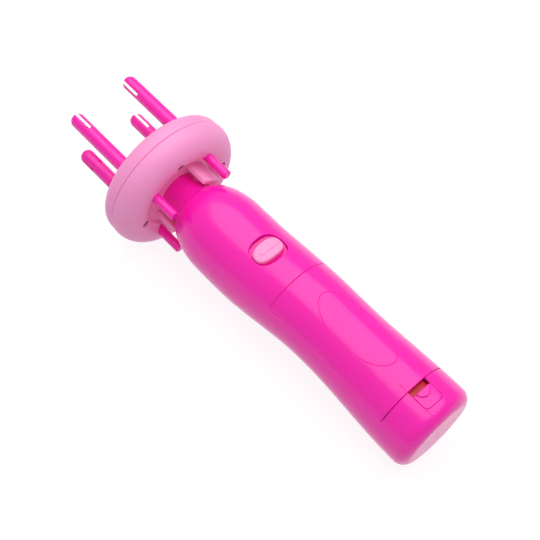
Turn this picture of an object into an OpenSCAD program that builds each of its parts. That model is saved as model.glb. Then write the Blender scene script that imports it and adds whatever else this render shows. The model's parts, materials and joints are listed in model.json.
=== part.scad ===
// Automatic hair braider: a battery handle with a turning head that carries four slotted tines.
// Every piece is drawn along the tool's own axis: +z runs from the base to the tine tips, z = 0
// lies in the head, +y is the side of the switch. lay_down() then puts the tool on a table, on the
// rim of its head and the edge of its base, with the switch up and the tines towards +Y.

/* [Pose] */
// Lean of the tool's axis as it lies on the table, in degrees
lean = 6.5; // [5:0.5:8]
// Turn of the head about the tool's axis, in degrees
head_turn = -5.7; // [-45:0.1:45]

/* [Handle] */
// Distance from the head's zero plane to the flat end of the base
base_end = 186; // [182:1:200]
// Distance from the head's zero plane to the start of the shoulder
shoulder_start = 18; // [17.5:0.5:19]
// Length of the shoulder's curve
shoulder_l = 26; // [24:1:27]
// Radius of the handle round the motor
motor_part_r = 22.4; // [22.2:0.1:24]
// Radius of the handle at its waist
waist_r = 20.6; // [20.2:0.1:21.5]
// Distance from the head's zero plane to the waist
waist_at = 120; // [115:1:125]
// Radius of the handle at the base
base_r = 23; // [22.5:0.1:24]
// Rounding of the base's edge
base_edge_r = 6; // [4:0.5:8]
// How far the arched waist stands off the axis, towards the switch side
arch = 7.3; // [6.5:0.1:8]
// Thickness of the handle's shells
wall = 2; // [1.8:0.1:2.4]
// Radius of the neck
neck_r = 10.5; // [10:0.1:11]

/* [Door and latch] */
// Distance from the head's zero plane to the door's upper seam
door_start = 91.5; // [90:0.5:93]
// Length of the opening for the door
door_l = 75; // [74:0.5:76]
// Height of the door's side edges above the surface where the two shells part
door_rise = 10; // [9:0.5:11]
// Gap round the door and the latch
door_gap = 0.25; // [0.2:0.05:0.35]
// Width of the slot in front of the latch, along the axis
latch_slot = 3.3; // [3:0.1:3.5]
// Length of the latch's tongue
latch_l = 8.5; // [8:0.5:10]
// Width of the latch's tongue
latch_w = 11; // [10:0.5:12]
// Radius of the half-round thumb rest on the latch
thumb_r = 4; // [3.5:0.1:4.4]

/* [Switch] */
// Distance from the head's zero plane to the switch
switch_at = 70; // [69:0.5:71]
// Length of the switch's recess, along the axis
recess_l = 15.6; // [15.4:0.1:17]
// Width of the switch's recess
recess_w = 18.4; // [18.2:0.1:19]
// Length of the button, along the axis
button_l = 9.8; // [9:0.1:10]
// Width of the button
button_w = 16.6; // [15.5:0.1:16.8]
// Travel of the button to each side of its middle position
switch_travel = 2.4; // [2:0.1:2.5]

/* [Head] */
// Radius of the head's disc
head_r = 38; // [37.5:0.1:39]
// Radius of the rounding at the back of the disc
back_round = 11; // [10.5:0.1:11.2]
// Distance from the zero plane to the seam between the two covers
seam_z = 2.5; // [2.3:0.1:2.8]
// Distance from the zero plane to the front face
front_z = 12; // [11.9:0.1:12.5]
// Radius of the rounding at the front of the disc
front_round = 6; // [5:0.5:7]
// Thickness of the two covers
cover_wall = 2; // [1.8:0.1:2.1]
// Radius of the circle that the cover screws lie on
screw_circle_r = 25.7; // [25.2:0.1:26]
// Width of the two guards at the back of the head
guard_w = 12.9; // [11:0.1:13.5]
// Thickness of the guards
guard_t = 2.6; // [2:0.1:2.8]
// Distance from the axis to the middle of a guard
guard_r = 15.8; // [15.6:0.1:16]
// Distance that the guards reach behind the zero plane
guard_reach = 18.5; // [17:0.5:18.5]
// Width of the rounded inner wall of the hollow at the back of the head
hollow_round = 6.1; // [5.5:0.1:6.5]
// Room between the planet gears' teeth and the front cover's wall
gear_room = 2.5; // [2:0.1:3]

/* [Tines] */
// Diameter of a tine
tine_d = 7.8; // [7.2:0.1:8.2]
// Distance from the zero plane to the tine tips
tip_z = 55.7; // [52:0.1:58]
// Diameter of a tine's spindle, which shows behind the head
spindle_d = 5; // [4.6:0.1:5.2]
// Distance that a spindle reaches behind the zero plane
spindle_reach = 24; // [22:0.1:25]
// Length of the hair slot in a tine's tip
slot_l = 12; // [10:0.5:14]
// Width of the hair slot
slot_w = 1.3; // [1.1:0.1:1.5]
// Radius of the round end of the slot
scoop_r = 1.2; // [1:0.05:1.3]
// Turn of the first tine's slot about its own axis, in degrees
tine_1_turn = 155; // [0:1:360]
// Turn of the second tine's slot
tine_2_turn = 335; // [0:1:360]
// Turn of the third tine's slot
tine_3_turn = 155; // [0:1:360]
// Turn of the fourth tine's slot
tine_4_turn = 65; // [0:1:360]

/* [Gears] */
// Teeth of the sun gear
sun_teeth = 36; // [36]
// Teeth of a planet gear
planet_teeth = 18; // [18]
// Module of the gears in the handle
train_module = 0.45; // [0.44:0.005:0.455]
// Teeth of the output gear and of the second gear's wheel
wheel_teeth = 36; // [36]
// Teeth of the first gear's wheel
first_teeth = 48; // [48]
// Teeth of every pinion
pinion_teeth = 12; // [12]
// Backlash of every mesh, at the pitch circle
backlash = 0.16; // [0.1:0.01:0.2]
// Thickness of a wheel in the handle
wheel_t = 2.5; // [2:0.1:2.6]
// Thickness of the gears in the head
head_gear_t = 4; // [3.5:0.1:4.2]

/* [Motor and shafts] */
// Width of the motor
motor_w = 20.1; // [19.8:0.1:20.4]
// Height of the motor
motor_h = 15.1; // [14.8:0.1:15.3]
// Length of the motor's steel can
motor_can_l = 20; // [19:0.5:20.5]
// Length of the motor's plastic end cap
motor_cap_l = 5; // [4.5:0.5:5]
// Radius of the motor's shaft
motor_shaft_r = 1; // [0.9:0.05:1]
// Radius of the drive shaft
drive_shaft_r = 2; // [1.9:0.05:2]
// Radius of the gears' fixed pins
pin_r = 1; // [0.9:0.05:1.1]
// Radial clearance of a shaft, a pin or the neck in its bore
running_gap = 0.05; // [0.03:0.01:0.08]

/* [Screws] */
// Length of the shell screws' shanks
shell_screw_l = 16; // [15:0.5:17]
// Length of the cover screws' shanks
cover_screw_l = 11; // [10:0.5:12]

/* [Cells] */
// Diameter of a cell
cell_d = 14.5; // [14:0.1:14.6]
// Length of a cell with its nub
cell_l = 50.5; // [49:0.5:50.5]
// Distance from the axis to a cell's middle, sideways
cell_x = 7.5; // [7.4:0.05:7.7]
// Height of the cells above the axis
cell_y = 4; // [3:0.1:5]
// Distance from the zero plane to the start of the cells' bay
bay_start = 98; // [97.5:0.5:98.5]
// Length of the cells' bay
bay_l = 60.5; // [60.5:0.5:61]

/* [Hidden] */
$fn = 64;

hot_pink = "#ff2aa8";
pale_pink = "#ffa6d8";
ivory = "#f2ede0";
steel = "#b9bec4";
brass = "#c9a54c";

// Sides of the handle's lofted body, outside and inside
outer_sides = 48;
inner_sides = 36;
// Reach of cutting shapes past what they cut, long and short
past = 60;
over = 1;
// Thickness of the stamped contacts and leads
strip_t = 0.5;
// Width of the leads
strip_w = 3;

// ---- the handle's body ----
function ease(t) = t <= 0 ? 0 : t >= 1 ? 1 : t * t * (3 - 2 * t);

shoulder_end = shoulder_start + shoulder_l;
shoulder_r = neck_r + 0.3;
arch_start = 56;
arch_top = 112;
bulge_end = 64;
base_corner = base_end - base_edge_r;
base_flat_r = base_r - base_edge_r;
// The disc's lowest line as it lies, and the base's shift that brings its edge to the same height
back_round_r = head_r - back_round;
back_round_z = seam_z - 1;
rest_depth = back_round_r * cos(lean) + back_round - back_round_z * sin(lean);
base_shift = (base_corner * sin(lean) + base_edge_r - rest_depth) / cos(lean) + base_flat_r;

function body_r(d) = d < waist_at
  ? motor_part_r + (waist_r - motor_part_r) * ease((d - bulge_end) / (waist_at - bulge_end))
  : waist_r + (base_r - waist_r) * ease((d - waist_at) / (base_corner - 2 - waist_at));
function body_shift(d) = d < arch_top
  ? arch * ease((d - arch_start) / (arch_top - arch_start))
  : arch + (base_shift - arch) * ease((d - arch_top) / (base_corner - 2 - arch_top));
function inside_r(d) = d < shoulder_end
  ? shoulder_r - wall + (motor_part_r - shoulder_r) * sqrt(1 - pow((shoulder_end - d) / (shoulder_l - wall), 2))
  : body_r(d) - wall;

// Stations of the body, as [distance from the zero plane, radius], drawn in by w
function stations(w, shoulder_n, body_n, corner_n) = concat(
  [for (i = [0:shoulder_n]) let (a = 90 * i / shoulder_n)
    [shoulder_end - (shoulder_l - w) * cos(a),
      shoulder_r - w + (motor_part_r - shoulder_r) * sin(a)]],
  [for (i = [1:body_n]) let (d = shoulder_end + (base_corner - 2 - shoulder_end) * i / body_n)
    [d, body_r(d) - w]],
  [for (i = [0:corner_n]) let (a = 90 * i / corner_n)
    [base_corner + (base_edge_r - w) * sin(a), base_flat_r + (base_edge_r - w) * cos(a)]]);

module loft(w, sides, shoulder_n, body_n, corner_n) {
  rings = stations(w, shoulder_n, body_n, corner_n);
  last = len(rings) - 1;
  points = [for (s = rings) for (k = [0:sides - 1]) let (a = 360 * k / sides)
    [s[1] * cos(a), body_shift(s[0]) + s[1] * sin(a), -s[0]]];
  polyhedron(points, concat(
    [[for (k = [0:sides - 1]) sides - 1 - k]],
    [for (j = [0:last - 1]) for (k = [0:sides - 1])
      let (a = j * sides + k, b = j * sides + (k + 1) % sides) [a, b, b + sides, a + sides]],
    [[for (k = [0:sides - 1]) last * sides + k]]));
}

module handle_outside() loft(0, outer_sides, 6, 18, 4);
module handle_inside() loft(wall, inner_sides, 4, 12, 2);

module handle_wall() difference() {
  handle_outside();
  handle_inside();
  neck_bore();
}

module neck_bore() translate([0, 0, -shoulder_start - 5]) cylinder(r = neck_r + running_gap, h = 8);

// Space above the curved parting surface of the two shells
parting_l = base_end + 14;
parting_steps = 16;
module above_parting() rotate([0, 90, 0]) linear_extrude(2 * past, center = true)
  polygon(concat(
    [for (i = [0:parting_steps]) let (d = parting_l * i / parting_steps) [d, body_shift(d)]],
    [[parting_l, past], [0, past]]));

// The opening for the door, drawn in by gap, its lower end slanted by a draft so that it swings free
door_end = door_start + door_l;
door_top = body_shift(door_end) + body_r(door_end);
door_draft = 2;
module door_space(gap, draft) let (start = door_start + gap, end = door_end - gap) intersection() {
  translate([0, door_rise + gap, 0]) above_parting();
  rotate([0, 90, 0]) linear_extrude(2 * past, center = true)
    polygon([[start, 0], [end - door_top * tan(draft), 0], [end, door_top], [end, past], [start, past]]);
}

// ---- small shapes ----
// A box from one corner to the opposite corner
module box(a, b) translate(a) cube(b - a);

// A round rod along y from height y0 to y1
module upright(x, z, y0, y1, r) translate([x, y0, z]) rotate([-90, 0, 0]) cylinder(r = r, h = y1 - y0);

// A round rod along the axis from z0 to z1
module rod(r, z0, z1) translate([0, 0, z0]) cylinder(r = r, h = z1 - z0);

// An upright prism with a squarish oval outline, w wide and l long
oval_power = 2 / 2.6;
function squarish(t) = sign(t) * pow(abs(t), oval_power);
module oval_prism(w, l, y0, y1) translate([0, y0, 0]) rotate([-90, 0, 0]) linear_extrude(y1 - y0)
  polygon([for (k = [0:outer_sides - 1]) let (a = 360 * k / outer_sides)
    [w / 2 * squarish(cos(a)), l / 2 * squarish(sin(a))]]);

module each_corner(r) for (k = [0:3]) rotate(90 * k) translate([r, 0, 0]) children();

// The head's own turn
module in_head() rotate(45 + head_turn) children();

// The place of tine k, 0 to 3
module at_tine(k) in_head() rotate(90 * k) translate([tine_r, 0, 0]) children();

// Tooth heights above and below the pitch circle, in modules
tooth_tip = 0.9;
tooth_root = 1.25;
// The head's gears fill the front cover; their centre distance is the radius that the tines stand on
front_r = head_r - 0.3;
head_module = (front_r - cover_wall - gear_room) / (sun_teeth / 2 + planet_teeth + tooth_tip);
tine_r = (sun_teeth + planet_teeth) * head_module / 2;

// Puts the tool on the table, with the middle of its footprint at the origin
tip_reach = (tip_z - tine_d / 2) * cos(lean) + tine_r * sin(45 - head_turn) * sin(lean) + tine_d / 2;
base_reach = base_corner * cos(lean) + (base_shift + base_flat_r) * sin(lean) + base_edge_r;
module lay_down() translate([0, (base_reach - tip_reach) / 2, rest_depth])
  rotate([lean, 0, 0]) rotate([90, 0, 180]) children();

// ---- gears ----
pressure_angle = 20;
// How far an involute has turned at radius r, in degrees
function unwound(r, base) = r <= base ? 0 : let (a = acos(base / r)) tan(a) * 180 / PI - a;
function polar(r, a) = [r * cos(a), r * sin(a)];

// Outline of a spur gear with a tooth centred on +x
function gear_outline(teeth, m) = let (
  pitch = teeth * m / 2, base = pitch * cos(pressure_angle), root = pitch - tooth_root * m,
  tip = pitch + tooth_tip * m, foot = max(root, base),
  half = 90 / teeth - backlash / 2 / pitch * 90 / PI + unwound(pitch, base),
  radii = concat(root < base ? [root] : [], [foot, foot + (tip - foot) * 0.35, foot + (tip - foot) * 0.7, tip]),
  flank = [for (r = radii) [r, half - unwound(r, base)]], n = len(flank) - 1)
  [for (k = [0:teeth - 1]) let (a = 360 * k / teeth) each concat(
    [for (f = flank) polar(f[0], a - f[1])], [for (i = [n:-1:0]) polar(flank[i][0], a + flank[i][1])])];

module gear(teeth, m, t) linear_extrude(t) polygon(gear_outline(teeth, m));

wheel_to_pinion = (wheel_teeth + pinion_teeth) * train_module / 2;
first_to_motor = (first_teeth + pinion_teeth) * train_module / 2;
first_y = 7;
motor_y = first_y - first_to_motor;
second_x = sqrt(wheel_to_pinion * wheel_to_pinion - first_y * first_y / 4);
second_y = first_y / 2;
half_pinion_pitch = 180 / pinion_teeth;
half_planet_pitch = 180 / planet_teeth;

// Planes of the gear train, from the head towards the base
layer_gap = 0.7;
gear_plate_z = -32.5;
output_z = gear_plate_z - layer_gap - wheel_t;
second_z = output_z - layer_gap - wheel_t;
first_z = second_z - layer_gap - wheel_t;
plate_t = 2.5;
motor_plate_z = first_z - layer_gap - plate_t;
plate_gap = 0.9;

// ---- handle pieces ----
switch_floor_y = motor_part_r - 2.6;
switch_floor_t = 1.2;
lever_w = 2;
latch_start = door_end + latch_slot;
latch_end = latch_start + latch_l;
screw_r = 1.25;
screw_head_r = 2.5;
screw_room = 2;
boss_r = 3;
// The shell screws, as [sideways, distance from the zero plane, height of the head's seat]
shell_screw_places = [[15.5, 55, -9], [-15.5, 55, -9], [14, 174, -5], [-14, 174, -5]];
bay_wall_t = 2;
rib_t = 1.6;
bay_end = bay_start + bay_l;

module switch_recess() translate([0, 0, -switch_at]) {
  oval_prism(recess_w, recess_l, switch_floor_y, past);
  box([-lever_w / 2 - 1.3, 0, -switch_travel - 3.6], [lever_w / 2 + 1.3, past, switch_travel + 3.6]);
}

// Ribs inside the front shell that hold the slide switch by its ends
module switch_ribs() for (s = [-1, 1])
  translate([0, 0, -switch_at + s * (switch_body_l / 2 + 0.8)])
    box([-4.5, switch_body_y, -0.75], [4.5, past, 0.75]);

module front_shell() color(hot_pink) difference() {
  intersection() {
    union() {
      handle_wall();
      intersection() {
        handle_outside();
        union() {
          translate([0, 0, -switch_at])
            oval_prism(recess_w + 3, recess_l + 3, switch_floor_y - switch_floor_t, past);
          switch_ribs();
          for (p = shell_screw_places) upright(p[0], -p[1], 0, past, boss_r);
        }
      }
    }
    above_parting();
  }
  switch_recess();
  door_space(0, 0);
  box([-latch_w / 2 - door_gap, 0, -latch_end - door_gap], [latch_w / 2 + door_gap, past, -door_end + over]);
  for (p = shell_screw_places) upright(p[0], -p[1], -past / 2, p[2] + shell_screw_l + screw_room, screw_r + 0.02);
}

module cell_space(x) translate([x, cell_y, -bay_end]) cylinder(d = cell_d + 0.5, h = bay_l);

// Cross walls inside the back shell: the bay's ends, the cells' cradles and the motor's rests
module back_ribs() difference() {
  intersection() {
    handle_outside();
    union() {
      for (d = [bay_start - bay_wall_t, bay_end])
        box([-15, -past, -d - bay_wall_t], [15, cell_y + cell_d / 2, -d]);
      for (k = [1:3]) let (d = bay_start + bay_l * k / 4)
        box([-past, -past, -d - rib_t], [past, cell_y, -d]);
      for (f = [0.5, 0.9]) let (z = motor_front_z - motor_can_l * f)
        box([-9, -past, z - rib_t], [9, motor_y - motor_h / 2, z]);
      difference() {
        for (p = shell_screw_places) upright(p[0], -p[1], -past, past, boss_r);
        above_parting();
      }
    }
  }
  cell_space(cell_x);
  cell_space(-cell_x);
}

module back_shell() color(hot_pink) difference() {
  union() {
    difference() {
      handle_wall();
      above_parting();
    }
    back_ribs();
  }
  for (p = shell_screw_places) {
    upright(p[0], -p[1], -past, past, screw_r + 0.25);
    upright(p[0], -p[1], -past, p[2], screw_head_r + 0.2);
  }
}

hook_x = 8.5;
hook_y = body_shift(door_start) + sqrt(pow(body_r(door_start) - wall, 2) - hook_x * hook_x);
module battery_door() color(hot_pink) intersection() {
  handle_outside();
  union() {
    intersection() {
      handle_wall();
      door_space(door_gap, door_draft);
    }
    for (s = [-1, 1]) translate([s * hook_x, 0, -door_start]) {
      box([-2.2, hook_y - 5.2, -3.5], [2.2, hook_y - 3.6, 2.8]);
      box([-2.2, hook_y - 5.2, -3.5], [2.2, hook_y + over, -0.5]);
    }
  }
}

latch_y = body_shift(latch_start) + body_r(latch_start);
nose_x = latch_w / 2 - 0.7;
module door_latch() color(hot_pink) {
  intersection() {
    handle_wall();
    box([-latch_w / 2, 10, -latch_end], [latch_w / 2, past, -latch_start]);
  }
  intersection() {
    upright(0, -latch_start, latch_y - 1, latch_y + 0.7, thumb_r);
    box([-past, 0, -base_end], [past, past, -latch_start]);
  }
  box([-nose_x, latch_y - 5.5, -latch_start - 2], [nose_x, latch_y - 1.2, -latch_start]);
  box([-nose_x, latch_y - 5.5, -latch_start - 2], [nose_x, latch_y - 3.6, -latch_start + latch_slot + 1.5]);
}

// ---- neck and bearings ----
flange_r = 13.4;
flange_z = -2.5;
bush_r = 4.5;
neck_flare = 2.4;
neck_flare_l = 9;
ratchet_teeth = 24;
ratchet_depth = 1.1;

module ratchet_ring(t) linear_extrude(t) polygon([for (k = [0:ratchet_teeth - 1])
  let (a = 360 * k / ratchet_teeth)
  each [polar(flange_r, a), polar(flange_r - ratchet_depth, a + 0.5)]]);

module neck_collar() color(hot_pink) difference() {
  union() {
    rod(neck_r, -shoulder_start - 5, flange_z);
    translate([0, 0, -shoulder_start + running_gap])
      cylinder(r1 = neck_r + neck_flare, r2 = neck_r, h = neck_flare_l);
    rod(neck_r + 1.6, -shoulder_start - 5, -shoulder_start - 3.6);
    translate([0, 0, flange_z]) ratchet_ring(1.7);
  }
  rod(bush_r + 0.02, -shoulder_start - 6, 0);
}

module shaft_bush() color(brass) difference() {
  union() {
    rod(bush_r, -shoulder_start - 4, flange_z + 1.5);
    rod(bush_r + 1.5, -shoulder_start - 6.5, -shoulder_start - 5.05);
    rod(bush_r, -shoulder_start - 6.5, -shoulder_start - 4);
  }
  rod(drive_shaft_r + running_gap, -past, 0);
}

module drive_shaft() color(steel) difference() {
  rod(drive_shaft_r, output_z - 0.3, seam_z + head_gear_t + 3);
  translate([0, 0, seam_z + head_gear_t + 1.6]) difference() {
    cylinder(r = drive_shaft_r + 1, h = 0.7);
    translate([0, 0, -1]) cylinder(r = drive_shaft_r - 0.5, h = 3);
  }
}

module shaft_clip() color(steel) translate([0, 0, seam_z + head_gear_t + 1.65]) difference() {
  cylinder(r = 3.6, h = 0.6);
  translate([0, 0, -1]) cylinder(r = drive_shaft_r - 0.45, h = 3);
  box([-1.2, -5, -1], [1.2, 0, 3]);
}

module sun_gear() color(ivory) translate([0, 0, seam_z + 1]) difference() {
  union() {
    in_head() gear(sun_teeth, head_module, head_gear_t);
    rod(4.5, -1.8, head_gear_t + 0.5);
  }
  rod(drive_shaft_r + 0.01, -past, past);
  for (k = [0:5]) rotate(60 * k) translate([10, 0, -1]) cylinder(r = 3, h = head_gear_t + 2);
}

// ---- gear train ----
second_angle = atan2(second_y, second_x);
module output_gear() color(ivory) translate([0, 0, output_z]) difference() {
  rotate(second_angle) gear(wheel_teeth, train_module, wheel_t);
  rod(drive_shaft_r + 0.01, -past, past);
}

second_to_first = atan2(first_y - second_y, -second_x);
module second_gear() color(ivory) translate([second_x, second_y, second_z]) difference() {
  union() {
    rotate(second_to_first) gear(wheel_teeth, train_module, wheel_t);
    rod(pin_r + 1.1, wheel_t, wheel_t + layer_gap);
    translate([0, 0, wheel_t + layer_gap])
      rotate(second_angle + half_pinion_pitch) gear(pinion_teeth, train_module, wheel_t);
  }
  rod(pin_r + running_gap, -past, past);
}

module first_gear() color(ivory) translate([0, first_y, first_z]) difference() {
  union() {
    rotate(-90) gear(first_teeth, train_module, wheel_t);
    rod(pin_r + 1.1, wheel_t, wheel_t + layer_gap);
    translate([0, 0, wheel_t + layer_gap])
      rotate(second_to_first + 180 + half_pinion_pitch + 180) gear(pinion_teeth, train_module, wheel_t);
  }
  rod(pin_r + running_gap, -past, past);
}

module motor_pinion() color(brass) translate([0, motor_y, 0]) {
  translate([0, 0, first_z]) rotate(90 + half_pinion_pitch)
    gear(pinion_teeth, train_module, wheel_t);
  color(steel) rod(motor_shaft_r, motor_front_z - 2.5, first_z + wheel_t + 0.5);
}

// ---- gear frame ----
post_places = [[-15.5, 3], [-9, -13], [12, -11]];
module first_pin(r, z0, z1) translate([0, first_y, 0]) rod(r, z0, z1);
module second_pin(r, z0, z1) translate([second_x, second_y, 0]) rod(r, z0, z1);

module gear_plate() color(ivory) difference() {
  rod(inside_r(-gear_plate_z - plate_t) - plate_gap, gear_plate_z, gear_plate_z + plate_t);
  rod(drive_shaft_r + running_gap, -past, past);
  second_pin(pin_r + 0.01, -past, past);
}

module motor_plate() color(ivory) difference() {
  union() {
    rod(inside_r(-motor_plate_z - plate_t) - plate_gap, motor_plate_z, motor_plate_z + plate_t);
    for (p = post_places) translate([p[0], p[1], 0]) rod(2, motor_plate_z, gear_plate_z);
  }
  first_pin(pin_r + 0.01, -past, past);
  translate([0, motor_y, 0]) rod(3.1, -past, past);
}

// The first gear's pin stands on the motor plate, the second gear's hangs from the gear plate
module gear_pins() color(steel) {
  first_pin(pin_r, motor_plate_z, output_z - 0.35);
  second_pin(pin_r, second_z - 0.35, gear_plate_z + plate_t);
}

// ---- motor ----
motor_front_z = motor_plate_z;
motor_back_z = motor_front_z - motor_can_l;
module motor_block(z0, z1) intersection() {
  rod(motor_w / 2, z0, z1);
  box([-motor_w, -motor_h / 2, z0], [motor_w, motor_h / 2, z1]);
}

module motor_can() color(steel) translate([0, motor_y, 0]) difference() {
  union() {
    motor_block(motor_back_z, motor_front_z);
    rod(3, motor_front_z, motor_front_z + 1.6);
  }
  rod(motor_shaft_r + running_gap, motor_front_z - 3, 0);
}

terminal_x = 7.5;
module motor_cap() color(ivory) {
  translate([0, motor_y, 0]) {
    motor_block(motor_back_z - motor_cap_l, motor_back_z);
    rod(2.6, motor_back_z - motor_cap_l - 1.5, motor_back_z);
  }
  color(brass) for (s = [-1, 1])
    box([s * terminal_x - strip_w / 2, -2, terminal_z], [s * terminal_x + strip_w / 2, -0.5, terminal_z + 1.5]);
}
terminal_z = motor_back_z - motor_cap_l - 1.5;

// ---- switch ----
switch_body_l = 16;
switch_body_y = 10.5;
switch_body_h = 5;
module slide_switch() color(steel) translate([0, 0, -switch_at]) {
  difference() {
    box([-3.5, switch_body_y, -switch_body_l / 2], [3.5, switch_body_y + switch_body_h, switch_body_l / 2]);
    box([-lever_w / 2 - 0.3, switch_body_y + 2, -switch_travel - 1.5],
      [lever_w / 2 + 0.3, past, switch_travel + 1.5]);
  }
  color(brass) for (k = [-1, 0, 1])
    box([-6, lead_y, k * 4.5 - 1], [-3.5, lead_y + strip_t, k * 4.5 + 1]);
}

module switch_lever() color("#2b2b2e") translate([0, 0, -switch_at])
  box([-lever_w / 2, switch_body_y + 2.3, -1.1], [lever_w / 2, switch_floor_y - 1.7, 1.1]);

button_top = motor_part_r + 1;
// The thin groove across the button
groove_w = 0.5;
groove_z = -0.6;
module switch_button() color(pale_pink) translate([0, 0, -switch_at]) {
  difference() {
    union() {
      intersection() {
        oval_prism(button_w, button_l, switch_floor_y + 0.25, past);
        rod(button_top, -button_l, button_l);
      }
      box([-1.9, switch_body_y + switch_body_h + 0.4, -3], [1.9, switch_floor_y + 1, 3]);
    }
    box([-lever_w / 2 - 0.1, 0, -1.2], [lever_w / 2 + 0.1, switch_floor_y - 1.6, 1.2]);
    difference() {
      box([-5.9, 0, groove_z - groove_w / 2], [5.9, past, groove_z + groove_w / 2]);
      rod(button_top - 0.4, -button_l, button_l);
    }
  }
}

// ---- cells and contacts ----
lead_y = cell_y + cell_d / 2 + 0.25;
nub_l = 1;
contact_gap = 0.02;
spring_space = bay_l - cell_l - 2 * strip_t - 2 * contact_gap;

module cell(x, nub_towards_head) {
  z0 = nub_towards_head ? -bay_start - strip_t - contact_gap - cell_l : -bay_end + strip_t + contact_gap;
  body_z = nub_towards_head ? z0 : z0 + nub_l;
  translate([x, cell_y, 0]) {
    color("#3d3f45") rod(cell_d / 2, body_z, body_z + cell_l - nub_l);
    color(steel) rod(2.6, nub_towards_head ? z0 + cell_l - nub_l - 1 : z0, nub_towards_head ? z0 + cell_l : z0 + nub_l + 1);
  }
}

module battery_left() cell(-cell_x, true);
module battery_right() cell(cell_x, false);

module positive_contact() color(brass) {
  box([-cell_x - 4.5, cell_y - 4.5, -bay_start - strip_t], [-cell_x + 4.5, lead_y + strip_t, -bay_start]);
  box([-9, lead_y, -bay_start - strip_t], [-6, lead_y + strip_t, -switch_at + 1]);
}

module negative_contact() color(brass) {
  box([cell_x - 4.5, cell_y - 4.5, -bay_start - strip_t], [cell_x + 4.5, lead_y + strip_t, -bay_start]);
  box([6, lead_y, -bay_start - strip_t], [9, lead_y + strip_t, terminal_z - strip_t]);
  box([6, -2, terminal_z - strip_t], [9, lead_y + strip_t, terminal_z]);
}

module bridge_contact() color(brass)
  box([-cell_x - 4.5, cell_y - 4.5, -bay_end], [cell_x + 4.5, cell_y + 4.5, -bay_end + strip_t]);

// From the switch's upper terminal round the motor to its left terminal
lead_x = -12;
module motor_lead() color(brass) {
  box([lead_x, lead_y, -switch_at + 3.5], [-6, lead_y + strip_t, -switch_at + 5.5]);
  box([lead_x, -2, -switch_at + 3.5], [lead_x + strip_t, lead_y + strip_t, -switch_at + 5.5]);
  box([lead_x, -2, terminal_z - strip_t], [lead_x + strip_t, -0.5, -switch_at + 5.5]);
  box([lead_x, -2, terminal_z - strip_t], [-6, -0.5, terminal_z]);
}

// A conical coil of wire along +z, wide at its foot
spring_wire_r = 0.35;
spring_turns = 4;
module coil(length, foot_r, top_r) {
  rings = 8 * spring_turns;
  sides = 6;
  points = [for (i = [0:rings]) for (k = [0:sides - 1]) let (
    t = i / rings, turn = 360 * spring_turns * t, a = 360 * k / sides,
    r = foot_r + (top_r - foot_r) * t + spring_wire_r * cos(a),
    z = spring_wire_r + (length - 2 * spring_wire_r) * t + spring_wire_r * sin(a))
    [r * cos(turn), r * sin(turn), z]];
  polyhedron(points, concat(
    [[for (k = [0:sides - 1]) k]],
    [for (j = [0:rings - 1]) for (k = [0:sides - 1])
      let (a = j * sides + k, b = j * sides + (k + 1) % sides) each [[a, a + sides, b], [b, a + sides, b + sides]]],
    [[for (k = [0:sides - 1]) rings * sides + sides - 1 - k]]));
}

module contact_spring_left() color(steel)
  translate([-cell_x, cell_y, -bay_end + strip_t + contact_gap]) coil(spring_space, 4, 2.8);
module contact_spring_right() color(steel)
  translate([cell_x, cell_y, -bay_start - strip_t - contact_gap]) mirror([0, 0, 1])
    coil(spring_space, 4, 2.8);

// ---- screws ----
// A round-headed screw along +z, its head's seat at z = 0
module screw(head_r, head_h, shank_r, length) difference() {
  union() {
    rod(head_r, -head_h, 0);
    rod(shank_r, 0, length);
  }
  for (a = [0, 90]) rotate(a) box([-head_r * 0.7, -0.35, -head_h - 1], [head_r * 0.7, 0.35, -head_h + 0.8]);
}

module shell_screws() color(steel) for (p = shell_screw_places)
  translate([p[0], p[2], -p[1]]) rotate([-90, 0, 0]) screw(screw_head_r, 2, screw_r, shell_screw_l);

cover_screw_seat = -4;
module cover_screws() color(steel) in_head() rotate(45) each_corner(screw_circle_r)
  translate([0, 0, cover_screw_seat]) screw(2, 1.5, 1.1, cover_screw_l);

// ---- head covers ----
function arc(cx, cz, r, a0, a1, n) = [for (i = [0:n]) let (a = a0 + (a1 - a0) * i / n)
  [cx + r * cos(a), cz + r * sin(a)]];

neck_hole_r = neck_r + running_gap;
dish_z = -4.6;
crest_z = back_round_z - back_round;

// Outline of the back cover's dished shell, drawn in by w
function back_profile(w) = concat(
  [[0, seam_z], [head_r - w, seam_z]],
  arc(back_round_r, back_round_z, back_round - w, 0, -90, 12),
  [for (i = [1:8]) let (a = 90 * i / 8)
    [back_round_r - (hollow_round - w) * sin(a), dish_z + (crest_z + w - dish_z) * cos(a)]],
  w > 0 ? [[back_round_r - hollow_round + w, dish_z + w]] : [], [[0, dish_z + w]]);

guard_place_turn = 90;
module guards() in_head() for (s = [0, 180]) rotate(guard_place_turn + s)
  box([guard_r - guard_t / 2, -guard_w / 2, -guard_reach], [guard_r + guard_t / 2, guard_w / 2, dish_z + over]);

module head_back() color(pale_pink) difference() {
  union() {
    rotate_extrude() difference() {
      polygon(back_profile(0));
      polygon(concat([[0, seam_z + 1], [head_r - cover_wall, seam_z + 1]],
        [for (p = back_profile(cover_wall)) if (p[1] < seam_z || p[0] > head_r) p]));
    }
    guards();
    intersection() {
      rotate_extrude() polygon(back_profile(0));
      in_head() {
        rotate(45) each_corner(screw_circle_r) rod(boss_r, crest_z, seam_z);
        each_corner(tine_r) rod(spindle_d / 2 + 1.5, crest_z, seam_z - 2);
      }
    }
  }
  rod(neck_hole_r, -past, past);
  in_head() each_corner(tine_r) rod(spindle_d / 2 + running_gap, -past, past);
  in_head() rotate(45) each_corner(screw_circle_r) {
    rod(1.2, -past, past);
    rod(2.2, -past, cover_screw_seat);
  }
}

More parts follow.
